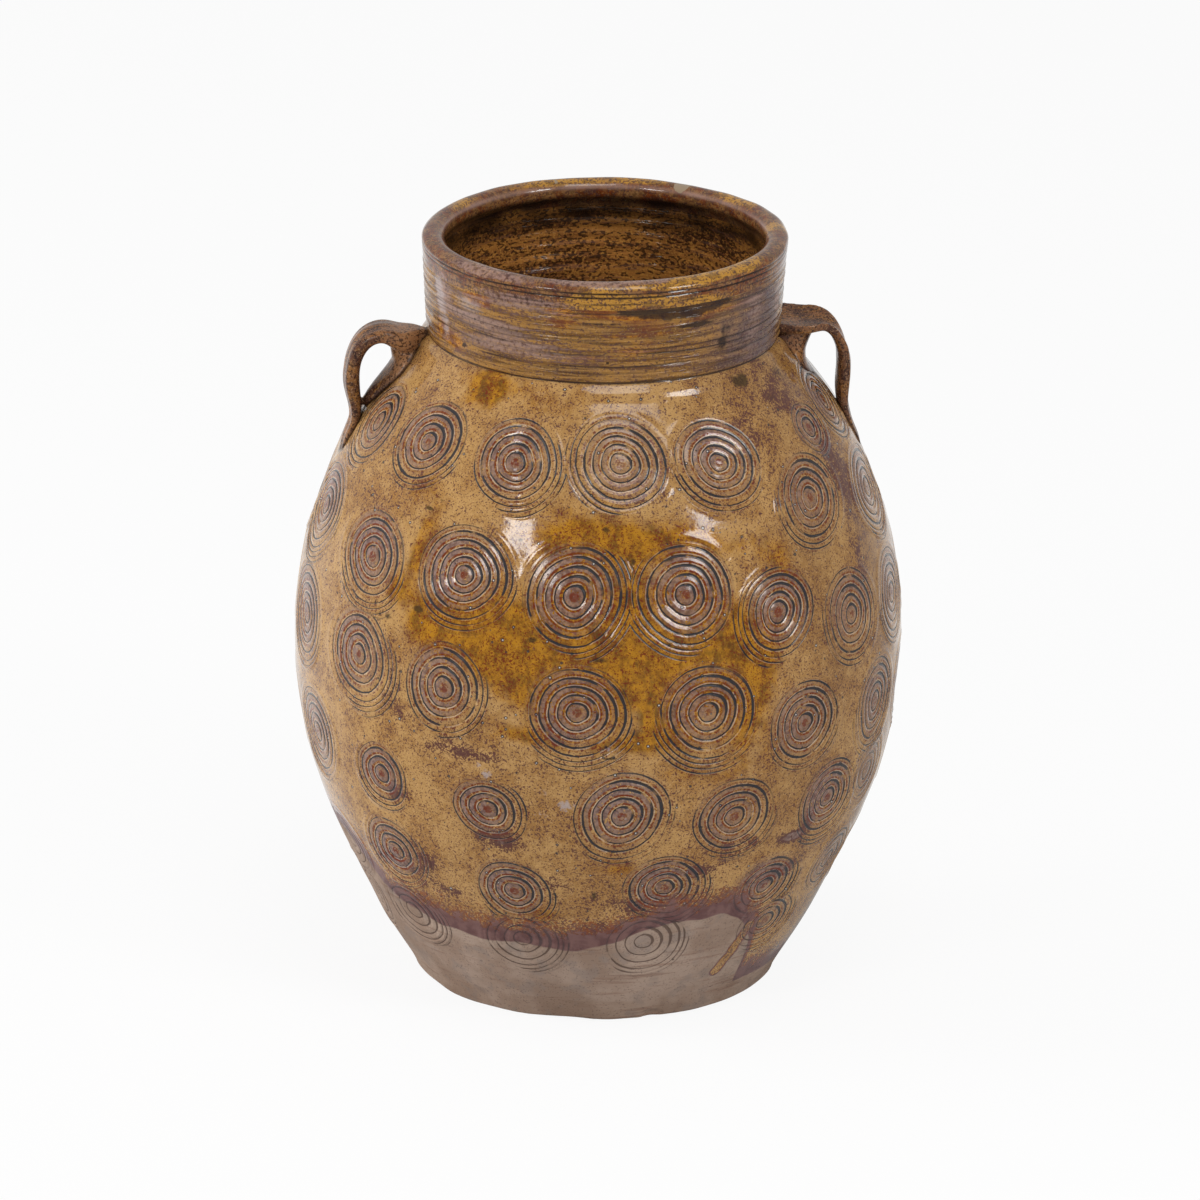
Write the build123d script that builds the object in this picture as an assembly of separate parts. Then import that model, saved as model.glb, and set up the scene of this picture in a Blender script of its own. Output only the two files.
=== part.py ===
from build123d import *
import os

# A wide-mouthed storage jar, thrown in sections that are luted together, with two strap lugs.
# Millimetres, +Z up. The origin is the centre of the underside and the lugs lie along X.

# The jar's own sizes: the body up to the neck seam, and the neck that stands on it
body_height = 372.5
neck_height = 58.5
belly_radius = 169.7
belly_height_share = 0.5477
foot_radius = 101.5
wall = 9.0

# The slab that closes the bottom
slab_thickness = 14.0
slab_edge_round = 2.5
floor_cove_width = 12.0

# The mouth and the rolled rim, which overhangs the neck on the inside. The rim stands out a
# little past the foot of the neck too.
mouth_radius = 89.0
rim_thickness = 12.8
rim_stand = 3.8
lip_land = 5.0
lip_overhang = 2.6
lip_undercut = 4.5
rim_crown = 3.8
rim_seam_drop = 15.0
rim_groove_drop = 5.4
rim_groove_pitch = 2.6
rim_grooves = 2
rim_groove_size = 0.7
neck_groove_size = 1.4

# The places where one thrown section is luted to the next: the lower one as a share of the
# rise from the ground to the belly, the upper one of the rise from the belly to the neck seam
lower_seam_share = 0.6176
upper_seam_share = 0.475

# The ridge that keys the seams
key_width = 4.0
key_depth = 2.5

# The strap lugs. Each strap's outer face stands out this far past the wall at the strap's tail.
lug_stands = {"lug_left": 3.79, "lug_right": -1.71}
lug_rise = 5.5
lug_drop = 62.0
lug_width = 44.0
lug_thickness = 8.5

# Small overrun of the shapes that cut others
overrun = 5.0

# Radii and heights that follow from these sizes
rim_radius = mouth_radius + rim_thickness
neck_radius = rim_radius - rim_stand
neck_seam_height = body_height
jar_height = body_height + neck_height
belly_height = belly_height_share * body_height
lower_seam_height = lower_seam_share * belly_height
upper_seam_height = belly_height + upper_seam_share * (neck_seam_height - belly_height)
lug_tail_height = neck_seam_height + lug_rise - lug_drop

# The wall's outline as shares: height, then how far out it stands. The lower list runs from
# the foot to the belly, the upper one from the belly to the neck seam.
lower_wall_shares = [(0.10, 0.175), (0.22, 0.375), (0.34, 0.545), (0.56, 0.818), (0.76, 0.955)]
upper_wall_shares = [(0.24, 0.935), (0.45, 0.795), (0.65, 0.60), (0.80, 0.375), (0.92, 0.14)]
foot_flare_share = 0.5
seam_slope_share = 0.66
neck_swell_share = 0.38
inner_wall_shares = [0.045, 0.11, 0.18, 0.26, 0.36, 0.47, 0.58, 0.69, 0.80, 0.90, 1.0]

# The strap's middle line and section along its length, as shares of the lug's reach from the
# neck, its drop, its width and its thickness. The first section is the root in the shoulder.
lug_shares = [
    (-0.09, 0.80, 0.90, 2.20),
    (0.15, 0.80, 1.00, 2.40),
    (0.34, 0.85, 0.94, 1.75),
    (0.51, 0.92, 0.78, 1.00),
    (0.71, 0.87, 0.64, 0.94),
    (0.86, 0.72, 0.54, 1.00),
    (0.91, 0.53, 0.50, 1.00),
    (0.89, 0.37, 0.47, 0.98),
    (0.86, 0.24, 0.44, 0.84),
    (0.87, 0.10, 0.38, 0.60),
    (0.91, -0.04, 0.26, 0.36),
]
lug_corner_share = 0.46


def point(radius, height):
    return Vector(radius, 0, height)


def radius_at(curve, height):
    """The radius at which a rising outline passes a height."""
    low, high = 0.0, 1.0
    for _ in range(40):
        middle = (low + high) / 2
        if (curve @ middle).Z < height:
            low = middle
        else:
            high = middle
    return (curve @ low).X


def wall_outline():
    """The outside of the body, from the foot's rounded edge to the neck seam."""
    rise = belly_height - slab_edge_round
    swell = belly_radius - foot_radius
    points = [point(foot_radius, slab_edge_round)]
    for up, out in lower_wall_shares:
        points.append(point(foot_radius + out * swell, slab_edge_round + up * rise))
    points.append(point(belly_radius, belly_height))
    rise = neck_seam_height - belly_height
    swell = belly_radius - neck_radius
    for up, out in upper_wall_shares:
        points.append(point(neck_radius + out * swell, belly_height + up * rise))
    points.append(point(neck_radius, neck_seam_height))
    foot_slope = Vector(foot_flare_share, 0, 1)
    seam_slope = Vector(-seam_slope_share, 0, 1)
    return Spline(points, tangents=[foot_slope, seam_slope])


def inner_outline(outside):
    """The inside of the body, one wall thickness in from the outside."""
    points = []
    for share in inner_wall_shares:
        along = outside % share
        inward = Vector(-along.Z, 0, along.X)
        points.append(outside @ share + inward * wall)
    return Spline(points)


def jar_outline(outside):
    """The closed outer shape of the whole jar, as if it were solid."""
    underside = point(foot_radius - slab_edge_round, 0)
    rim_side = point(rim_radius, jar_height - rim_crown)
    neck_middle = point(
        neck_radius + neck_swell_share * (rim_radius - neck_radius),
        (neck_seam_height + jar_height - rim_crown) / 2,
    )
    land_top = point(mouth_radius, jar_height - rim_crown)
    crown = point((mouth_radius + rim_radius) / 2, jar_height)
    edges = [
        Line(point(0, 0), underside),
        TangentArc(underside, outside @ 0, tangent=Vector(1, 0, 0)),
        outside,
        ThreePointArc(outside @ 1, neck_middle, rim_side),
        ThreePointArc(rim_side, crown, land_top),
        Line(land_top, point(0, jar_height - rim_crown)),
        Line(point(0, jar_height - rim_crown), point(0, 0)),
    ]
    return make_face(edges)


def cavity_outline(inside):
    """The space inside the jar, up through the neck and past the mouth."""
    cove_top = inside @ 0
    cove_foot = point(cove_top.X - floor_cove_width, slab_thickness)
    land_top = jar_height - rim_crown
    undercut = point(mouth_radius + lip_overhang, land_top - lip_land - lip_undercut)
    edges = [
        Line(point(0, slab_thickness), cove_foot),
        TangentArc(cove_foot, cove_top, tangent=Vector(1, 0, 0)),
        inside,
        Line(inside @ 1, undercut),
        Line(undercut, point(mouth_radius, land_top - lip_land)),
        Line(point(mouth_radius, land_top - lip_land), point(mouth_radius, jar_height + overrun)),
        Line(point(mouth_radius, jar_height + overrun), point(0, jar_height + overrun)),
        Line(point(0, jar_height + overrun), point(0, slab_thickness)),
    ]
    return make_face(edges)


def diamond(middle, size):
    """A square on its corner, the section of an incised line."""
    corners = [(size, 0), (0, size), (-size, 0), (0, -size)]
    return make_face(Polyline([middle + point(x, z) for x, z in corners], close=True))


def incised_lines():
    """The pair of lines under the rim and the one at the foot of the neck."""
    lines = [diamond(point(neck_radius, neck_seam_height), neck_groove_size)]
    for index in range(rim_grooves):
        height = jar_height - rim_groove_drop - index * rim_groove_pitch
        lines.append(diamond(point(rim_radius, height), rim_groove_size))
    return lines


def seam_lines(outside):
    """The cuts between the sections, bottom to top: level, with a ridge inside the wall."""
    edge = belly_radius + overrun
    keys = [
        (slab_thickness, radius_at(outside, slab_thickness) - wall),
        (lower_seam_height, radius_at(outside, lower_seam_height) - wall / 2),
        (upper_seam_height, radius_at(outside, upper_seam_height) - wall / 2),
        (neck_seam_height, neck_radius - wall / 2),
        (jar_height - rim_seam_drop, rim_radius - wall / 2),
    ]
    cuts = [[(0, -overrun), (edge, -overrun)]]
    for height, radius in keys:
        ridge = [
            (radius - key_width / 2, height),
            (radius, height - key_depth),
            (radius + key_width / 2, height),
        ]
        cuts.append([(0, height)] + ridge + [(edge, height)])
    cuts.append([(0, jar_height + overrun), (edge, jar_height + overrun)])
    return cuts


def band(low_line, high_line):
    """The strip between two seams, which picks one section out of the wall."""
    corners = [point(*place) for place in low_line + high_line[::-1]]
    return make_face(Polyline(corners, close=True))


def lug_strap(reach):
    """One strap, run on into the wall at both ends, on the +X side."""
    span = reach - neck_radius
    places = []
    for out, up, _, _ in lug_shares:
        places.append(point(neck_radius + out * span, lug_tail_height + up * lug_drop))
    line = Spline(places)
    sections = []
    for place, (_, _, width_share, thickness_share) in zip(places, lug_shares):
        thickness = lug_thickness * thickness_share
        across = Plane(origin=place, x_dir=(0, 1, 0), z_dir=line % line.param_at_point(place))
        shape = RectangleRounded(lug_width * width_share, thickness, thickness * lug_corner_share)
        sections.append(across * shape)
    return loft(sections)


os.makedirs("parts", exist_ok=True)

outside = wall_outline()
solid_outline = jar_outline(outside)
section = solid_outline - cavity_outline(inner_outline(outside))
for line in incised_lines():
    section = section - line

names = ["floor_disc", "lower_wall", "belly_wall", "shoulder_wall", "neck_collar", "rim_roll"]
cuts = seam_lines(outside)
for name, low_line, high_line in zip(names, cuts, cuts[1:]):
    piece = revolve(section & band(low_line, high_line), axis=Axis.Z)
    export_step(piece, f"parts/{name}.step")

jar_block = revolve(solid_outline, axis=Axis.Z)
tail_radius = radius_at(outside, lug_tail_height)
for name, stand in lug_stands.items():
    lug = lug_strap(tail_radius + stand) - jar_block
    if name == "lug_left":
        lug = mirror(lug, about=Plane.YZ)
    export_step(lug, f"parts/{name}.step")
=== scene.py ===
import math
from types import SimpleNamespace

import bpy
import numpy as np
from mathutils import Matrix, Vector


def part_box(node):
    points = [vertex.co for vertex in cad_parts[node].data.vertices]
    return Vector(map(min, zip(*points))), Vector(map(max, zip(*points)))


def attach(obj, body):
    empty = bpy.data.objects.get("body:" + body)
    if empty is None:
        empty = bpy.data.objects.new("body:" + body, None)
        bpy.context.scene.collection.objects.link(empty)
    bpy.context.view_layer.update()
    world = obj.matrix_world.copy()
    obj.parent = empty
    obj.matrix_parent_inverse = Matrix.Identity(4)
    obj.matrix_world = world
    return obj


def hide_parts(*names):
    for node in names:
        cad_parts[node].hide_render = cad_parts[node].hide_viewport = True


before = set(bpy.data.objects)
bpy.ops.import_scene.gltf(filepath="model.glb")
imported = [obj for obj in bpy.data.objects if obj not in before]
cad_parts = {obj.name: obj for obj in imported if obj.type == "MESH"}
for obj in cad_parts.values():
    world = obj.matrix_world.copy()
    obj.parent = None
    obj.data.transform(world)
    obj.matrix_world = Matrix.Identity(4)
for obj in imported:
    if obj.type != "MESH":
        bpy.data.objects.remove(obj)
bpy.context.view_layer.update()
mm = 0.001
scene = bpy.context.scene


# Camera

cameraSettings = {
    "azimuth": -5.0,       # degrees, 0 looks along +Y
    "elevation": 19.5,
    "distance": 6.16,
    "aimHeight": 0.2128,
    "aimSide": 0.0009,
    "roll": 0.75,          # degrees the jar leans to the right in the picture
    "lens": 330.0,
    "sensor": 36.0,
    "pictureSize": 1200,
}


def cameraAxes(s):
    turn, lift, roll = (math.radians(s[k]) for k in ("azimuth", "elevation", "roll"))
    back = Vector((math.sin(turn) * math.cos(lift), -math.cos(turn) * math.cos(lift), math.sin(lift)))
    level = Vector((math.cos(turn), math.sin(turn), 0))
    upright = back.cross(level)
    right = math.cos(roll) * level + math.sin(roll) * upright
    up = math.cos(roll) * upright - math.sin(roll) * level
    place = Vector((0, 0, s["aimHeight"])) + level * s["aimSide"] + back * s["distance"]
    return place, right, up, back


def addObject(name, data):
    thing = bpy.data.objects.new(name, data)
    scene.collection.objects.link(thing)
    return thing


def makeCamera(s):
    data = bpy.data.cameras.new("jarCamera")
    data.lens = s["lens"]
    data.sensor_width = s["sensor"]
    data.clip_end = 60
    scene.camera = addObject("jarCamera", data)
    axes = Matrix((cameraRight, cameraUp, cameraBack)).transposed()
    scene.camera.matrix_world = Matrix.Translation(cameraPlace) @ axes.to_4x4()


cameraPlace, cameraRight, cameraUp, cameraBack = cameraAxes(cameraSettings)
makeCamera(cameraSettings)
scene.view_settings.view_transform = "Standard"
print("camera placed")


# The jar's outline, in millimetres, as (radius, height)

wallShape = {
    "bodyHeight": 372.5,
    "neckHeight": 58.5,
    "bellyRadius": 169.7,
    "bellyHeightShare": 0.5477,
    "footRadius": 101.5,
    "footRound": 2.5,
    "thickness": 9.0,
    "floorHeight": 14.0,
    "coveFoot": 96.2,      # where the inside of the wall meets the floor
    "coveTop": 31.4,
    "mouthRadius": 89.0,
    "rimThickness": 12.8,
    "rimStand": 3.8,
    "rimCrown": 3.8,
    "lipLand": 5.0,
    "lipOverhang": 2.6,
    "lipUndercut": 4.5,
    # height, then how far out the wall stands: from foot to belly, and from belly to neck seam
    "lowerShares": [(0.10, 0.175), (0.22, 0.375), (0.34, 0.545), (0.56, 0.818), (0.76, 0.955)],
    "upperShares": [(0.24, 0.935), (0.45, 0.795), (0.65, 0.60), (0.80, 0.375), (0.92, 0.14)],
    "footFlare": 0.5,
    "seamSlope": 0.66,
    "neckSwell": 0.38,
}


def pathLength(path):
    # how far along a path each of its points is
    return np.concatenate([[0], np.cumsum(np.linalg.norm(np.diff(path, axis=0), axis=1))])


def unit(vectors):
    return vectors / np.maximum(np.linalg.norm(vectors, axis=-1, keepdims=True), 1e-9)


def splineThrough(points, startSlope, endSlope, step=0.4):
    points = np.array(points, float)
    chord = pathLength(points)
    gap = np.diff(chord)
    last = len(points) - 1
    system = np.zeros((last + 1, last + 1))
    known = np.zeros((last + 1, points.shape[1]))
    system[0, 0] = system[last, last] = 1
    known[0], known[last] = unit(np.array(startSlope)), unit(np.array(endSlope))
    for i in range(1, last):
        system[i, i - 1:i + 2] = gap[i], 2 * (gap[i - 1] + gap[i]), gap[i - 1]
        rise = gap[i] / gap[i - 1] * (points[i] - points[i - 1])
        known[i] = 3 * (rise + gap[i - 1] / gap[i] * (points[i + 1] - points[i]))
    slope = np.linalg.solve(system, known)
    along = np.linspace(0, chord[-1], int(chord[-1] / step) + 2)
    k = np.clip(np.searchsorted(chord, along, side="right") - 1, 0, last - 1)
    g = gap[k][:, None]
    t = ((along - chord[k]) / gap[k])[:, None]
    low = (2 * t**3 - 3 * t**2 + 1) * points[k] + (t**3 - 2 * t**2 + t) * g * slope[k]
    return low + (3 * t**2 - 2 * t**3) * points[k + 1] + (t**3 - t**2) * g * slope[k + 1]


def arcThrough(start, middle, end, count=40):
    (ax, ay), (bx, by), (cx, cy) = start, middle, end
    d = 2 * (ax * (by - cy) + bx * (cy - ay) + cx * (ay - by))
    a, b, c = (x**2 + y**2 for x, y in (start, middle, end))
    ux = (a * (by - cy) + b * (cy - ay) + c * (ay - by)) / d
    uy = (a * (cx - bx) + b * (ax - cx) + c * (bx - ax)) / d
    radius = math.hypot(ax - ux, ay - uy)
    a, b, c = (math.atan2(y - uy, x - ux) for x, y in (start, middle, end))
    b = a + (b - a + math.pi) % (2 * math.pi) - math.pi
    c = b + (c - b + math.pi) % (2 * math.pi) - math.pi
    turn = np.linspace(a, c, count)
    return np.stack([ux + radius * np.cos(turn), uy + radius * np.sin(turn)], 1)


def evenly(path, step):
    along = pathLength(path)
    count = max(2, int(round(along[-1] / step)) + 1)
    place = np.linspace(0, along[-1], count)
    return np.stack([np.interp(place, along, path[:, k]) for k in range(path.shape[1])], 1)


def cutAt(path, low, high):
    # the stretch of a rising path between two heights, with its ends exactly on them
    r = np.interp([low, high], path[:, 1], path[:, 0])
    inside = path[(path[:, 1] > low + 0.05) & (path[:, 1] < high - 0.05)]
    return np.vstack([[r[0], low], inside, [r[1], high]])


def hanning(reach):
    # weights for an average over this many neighbours to each side
    weights = np.hanning(2 * reach + 3)[1:-1]
    return weights / weights.sum()


def softened(path, reach, step=0.2):
    # rounds a path's corners by averaging along it, with its ends held
    fine = evenly(path, step)
    width = int(reach / step)
    padded = np.vstack([2 * fine[0] - fine[width:0:-1], fine, 2 * fine[-1] - fine[-2:-width - 2:-1]])
    return np.stack([np.convolve(padded[:, k], hanning(width), "valid") for k in (0, 1)], 1)


def outlineParts(s):
    top = s.bodyHeight + s.neckHeight
    crownFoot = top - s.rimCrown
    rimRadius = s.mouthRadius + s.rimThickness
    neckRadius = rimRadius - s.rimStand
    bellyHeight = s.bellyHeightShare * s.bodyHeight
    swell, rise = s.bellyRadius - s.footRadius, bellyHeight - s.footRound
    points = [(s.footRadius, s.footRound)]
    points += [(s.footRadius + out * swell, s.footRound + up * rise) for up, out in s.lowerShares]
    points.append((s.bellyRadius, bellyHeight))
    swell, rise = s.bellyRadius - neckRadius, s.bodyHeight - bellyHeight
    points += [(neckRadius + out * swell, bellyHeight + up * rise) for up, out in s.upperShares]
    points.append((neckRadius, s.bodyHeight))
    wall = splineThrough(points, (s.footFlare, 1), (-s.seamSlope, 1))
    neckMiddle = (neckRadius + s.neckSwell * s.rimStand, (s.bodyHeight + crownFoot) / 2)
    neck = arcThrough((neckRadius, s.bodyHeight), neckMiddle, (rimRadius, crownFoot), 140)
    crownTop = ((rimRadius + s.mouthRadius) / 2, top)
    crown = arcThrough((rimRadius, crownFoot), crownTop, (s.mouthRadius, crownFoot))
    footEdge = s.footRadius - s.footRound
    footMiddle = (footEdge + 0.7 * s.footRound, 0.29 * s.footRound)
    foot = arcThrough((footEdge, 0), footMiddle, (s.footRadius, s.footRound), 8)
    slope = unit(np.gradient(wall, axis=0))
    inner = wall + s.thickness * np.stack([-slope[:, 1], slope[:, 0]], 1)
    inner = inner[inner[:, 1] > s.coveTop]
    coveMiddle = (s.coveFoot + 7.6, s.floorHeight + 4.8)
    cove = arcThrough((s.coveFoot, s.floorHeight), coveMiddle, tuple(inner[0]), 12)
    landFoot = crownFoot - s.lipLand
    lip = [(s.mouthRadius + s.lipOverhang, landFoot - s.lipUndercut), (s.mouthRadius, landFoot),
           (s.mouthRadius, crownFoot)]
    return np.vstack([foot, wall[1:], neck[1:]]), crown, np.vstack([cove, inner[1:], lip])


# the sections from the ground up, each named for its CAD node, and the grid that they are made on
bandNames = ["floor_disc", "lower_wall", "belly_wall", "shoulder_wall", "neck_collar", "rim_roll"]
gridSettings = {
    "columns": 1280,
    "wallStep": 0.8,       # mm between rows on the outside
    "neckStep": 0.5,
    "rimStep": 0.5,
    "throatStep": 1.2,     # inside the neck
    "insideStep": 5.0,
    "floorStep": 4.0,
    "lipSoftness": 2.2,    # how far the lip's edges are rounded
}

outsidePath, crownPath, insidePath = outlineParts(SimpleNamespace(**wallShape))
seamHeights = [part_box(name)[1].z / mm for name in bandNames[:-1]]
floorSeam, neckSeam, rimSeam = seamHeights[0], seamHeights[-2], seamHeights[-1]
neckTop = crownPath[:, 1].max()


def layRows(g):
    # the rows of the grid from the middle of the underside, up the outside, over the rim and down
    # the inside, as stretches that each belong to one section
    topOutside = cutAt(outsidePath, rimSeam, outsidePath[-1, 1])
    lipInside = cutAt(insidePath, rimSeam, insidePath[-1, 1])[::-1]
    rim = softened(np.vstack([topOutside, crownPath[1:], lipInside[1:]]), g.lipSoftness)
    lowest = 0.02     # mm above the ground, just past the last row of the underside
    levels = [lowest, *seamHeights]
    outer = [(name, cutAt(outsidePath, low, high), step) for name, low, high, step
             in zip(bandNames, levels, levels[1:], [g.wallStep] * 4 + [g.neckStep])]
    inner = [(name, cutAt(insidePath, low, high)[::-1], step) for name, low, high, step
             in zip(bandNames[1:], levels[1:], levels[2:], [g.insideStep] * 3 + [g.throatStep])]
    underside = np.array([(0.0, 0.0), tuple(outsidePath[0])])
    floorInside = np.array([(insidePath[0, 0], floorSeam), (0.0, floorSeam)])
    stretches = [("floor_disc", underside, g.floorStep), *outer, ("rim_roll", rim, g.rimStep), *inner[::-1],
                 ("floor_disc", floorInside, g.floorStep)]
    rows, ranges = [underside[:1]], []
    count = 0
    for node, path, step in stretches:
        rows.append(evenly(path, step)[1:])
        ranges.append((node, count, count + len(rows[-1])))
        count += len(rows[-1])
    rows = np.vstack(rows)
    rows[0, 0] = rows[-1, 0] = 0.0
    return rows, ranges


# rowRanges holds the node, first row and last row of each stretch, with the end rows shared
rows, rowRanges = layRows(SimpleNamespace(**gridSettings))
rowRadius, rowHeight = rows.T
rowCount, columns = len(rows), gridSettings["columns"]
gridShape = (rowCount, columns)
theta = np.arange(columns) / columns * 2 * math.pi
outerFirst = rowRanges[1][1]
rimFirst, rimLast = next((a, b) for node, a, b in rowRanges if node == "rim_roll")
rimTopRow = rimFirst + int(np.argmax(rowHeight[rimFirst:rimLast]))
rowSlope = unit(np.gradient(rows, axis=0))
rowNormal = np.stack([rowSlope[:, 1], -rowSlope[:, 0]], 1)     # points out of the clay
rowLength = pathLength(rows)
print("outline laid out:", rowCount, "rows,", columns, "columns")


# Finding a place on the jar from a pixel of the photograph

def wallRadius(height):
    return np.interp(height, outsidePath[:, 1], outsidePath[:, 0])


def wallPoint(angle, height):
    r = wallRadius(height)
    return np.array([r * math.cos(angle), r * math.sin(angle), height])


def wallNormal(angle, height):
    step = 2.0
    lean = (wallRadius(height + step) - wallRadius(height - step)) / (2 * step)
    return Vector((math.cos(angle), math.sin(angle), -lean)).normalized()


def jarPoint(x, y):
    # angle and height, in radians and millimetres, where a pixel's ray first meets the outside
    s = SimpleNamespace(**cameraSettings)
    half = s.pictureSize / 2
    ray = cameraRight * (x - half) + cameraUp * (half - y) - cameraBack * (s.lens / s.sensor * s.pictureSize)
    # how far the ray is followed before and past the jar's middle, in mm, and in how many steps
    before, past, samples = 230, 60, 3000
    along = np.linspace(s.distance / mm - before, s.distance / mm + past, samples)
    p = np.array(cameraPlace) / mm + along[:, None] * np.array(ray.normalized())
    gap = np.hypot(p[:, 0], p[:, 1]) - wallRadius(p[:, 2])
    gap[(p[:, 2] < 0) | (p[:, 2] > neckTop)] = 50
    hit = np.argmax(gap < 0) if (gap < 0).any() else int(np.argmin(gap))
    if gap[hit] < 0 and hit > 0:
        t = gap[hit - 1] / (gap[hit - 1] - gap[hit])
        p = p[hit - 1] + t * (p[hit] - p[hit - 1])
    else:
        p = p[hit]
    return math.atan2(p[1], p[0]), float(p[2])


# Stamps

stampSettings = {
    "pitch": 5.1,          # mm from ring to ring
    "arcPitch": 2.9,       # of the thin arcs past a stamp's edge, where it rocked
    "firstRing": 5.7,
    "relief": 0.62,        # mm from the bottom of a ring to its crest
    "press": 1.2,          # how far the stamp flattened the wall at its middle
    "edgeRise": 0.3,       # clay pushed up round a stamp
    "oval": 0.035,         # how far a print is from round, then the waves of its rings in mm
    "wander": ((2, 0.3), (3, 0.25), (5, 0.12)),
    "rocking": (0.1, 0.3), # how much further the thin arcs go
}

# x and y in the photograph, radius in mm, depth, mauve, and the side of the deeper print in degrees
frontStamps = [
    (377, 420, 25, .7, .8, 250), (427, 441, 26, .8, .9, 300), (514, 462, 26, 1., .9, 300),
    (620, 463, 28, .8, .6, 230), (719, 462, 28, 1., .9, 240), (810, 426, 16, .9, .6, 300),
    (824, 397, 24, 1., .8, 270), (812, 497, 27, .8, .7, 250), (869, 486, 27, .9, .8, 250),
    (325, 504, 28, .9, 1., 270), (372, 556, 28, .7, 1., 280), (463, 575, 29, .9, 1., 310),
    (574, 597, 30, .9, .9, 300), (686, 595, 30, 1., .9, 200), (780, 612, 26, 1., .9, 230),
    (853, 614, 27, .8, .7, 250), (893, 592, 27, .8, .8, 250),
    (305, 612, 28, .9, 1., 270), (358, 654, 28, .7, .9, 300), (443, 688, 26, .9, .9, 320),
    (577, 714, 29, 1., .8, 300), (709, 713, 30, 1., .7, 290), (806, 723, 27, 1., .8, 300),
    (877, 701, 26, .8, .8, 270),
    (317, 731, 27, .8, .9, 270), (381, 774, 20, .8, 1., 300), (487, 810, 21, .9, 1., 320),
    (622, 817, 29, .8, 1., 270), (735, 817, 26, .8, .7, 320), (829, 798, 26, .9, 1., 290),
    (867, 770, 22, .4, .4, 270),
    (350, 838, 22, .5, .6, 270), (395, 851, 24, .8, 1., 320), (514, 892, 24, .8, 1., 300),
    (665, 889, 25, .9, .9, 290), (765, 886, 24, .6, .9, 300), (828, 859, 22, .6, .5, 290),
    (413, 911, 22, .9, .2, 320), (522, 940, 23, .9, .2, 300), (644, 943, 24, .8, .1, 300),
    (766, 921, 22, .6, .6, 290),
]

# the rows go on round the back, falling slowly as they go round: where each starts and ends,
# as an angle in degrees and a height in mm, then the stamps between and their radius
backRows = [
    (-2.9, 334.5, 193.5, 331.3, 7, 26),
    (-13.7, 290.2, 186.4, 278.1, 9, 28),
    (-16.6, 231.7, 190.0, 219.0, 9, 28),
    (-28.3, 179.1, 195.6, 154.0, 10, 27),
    (-27.3, 136.3, 195.3, 87.6, 9, 25),
    (-30.6, 83.2, 215.3, 57.8, 10, 23),
]

stampRandom = np.random.default_rng(41)
stamps = [(*jarPoint(x, y), *look, math.radians(side)) for x, y, *look, side in frontStamps]
for startAngle, startHeight, endAngle, endHeight, between, radius in backRows:
    for index in range(1, between + 1):
        share = index / (between + 1)
        jitter = stampRandom.normal(0, 1, 5)
        angle = math.radians(startAngle + share * (endAngle - startAngle) + jitter[0])
        height = startHeight + share * (endHeight - startHeight) + 4 * jitter[1]
        # the low ones lie at the glaze's edge, where less mauve shows
        mauve = (.85 if height > 95 else .3) + .1 * jitter[4]
        stamps.append((angle, height, radius + 1.2 * jitter[2], np.clip(.82 + .12 * jitter[3], .4, 1),
                       np.clip(mauve, 0, 1), math.radians(280 + 30 * jitter[0])))
print("stamps placed:", len(stamps))


# Relief on the grid

def waves(seed, count, around, along):
    # smooth periodic unevenness between about -1 and 1: up to `around` waves round the jar
    # and one per `along` millimetres up it
    r = np.random.default_rng(seed)
    out = np.zeros(gridShape, np.float32)
    turn = theta.astype(np.float32)[None, :]
    up = rowLength.astype(np.float32)[:, None]
    for _ in range(count):
        m = int(r.integers(0, around + 1))
        w = r.uniform(-1, 1) * 2 * math.pi / along
        wave = np.cos(m * turn + w * up + r.uniform(0, 2 * math.pi)).astype(np.float32)
        out += wave * float(r.uniform(.4, 1))
    return out / math.sqrt(count)


def smooth(low, high, value):
    t = np.clip((value - low) / (high - low), 0, 1)
    return t * t * (3 - 2 * t)


def allRound(side, up):
    # radial and upward parts of each row, turned round the axis
    side, up = side[:, None], up[:, None]
    return np.stack([side * np.cos(theta), side * np.sin(theta), np.broadcast_to(up, gridShape)], -1)


outerRows = slice(outerFirst, rimTopRow + 1)
isOuter = np.zeros(rowCount, bool)
isOuter[outerRows] = True
base = allRound(rowRadius, rowHeight)
normal = allRound(*rowNormal.T)
form = np.zeros(gridShape, np.float32)       # broad relief, which the shading normals follow
fine = np.zeros(gridShape, np.float32)       # rings and lines, cut into the mesh as well
nearest = np.full(gridShape, 9, np.float32)
# what the materials read: numbers that go with the mesh
fields = {name: np.zeros(gridShape, np.float32) for name in ("ringFade", "ringWear", "ringMauve", "ringShadeSide")}
fields["ringPlace"] = np.full(gridShape, 20, np.float32)


def windowAround(angle, height, reach):
    r = max(wallRadius(height), 60)
    spread = reach / r + 0.03
    middle = int(round(angle / (2 * math.pi) * columns))
    half = int(spread / (2 * math.pi) * columns) + 2
    cols = np.arange(middle - half, middle + half + 1) % columns
    return np.ix_(np.where(isOuter & (np.abs(rowHeight - height) < reach))[0], cols)


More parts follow.
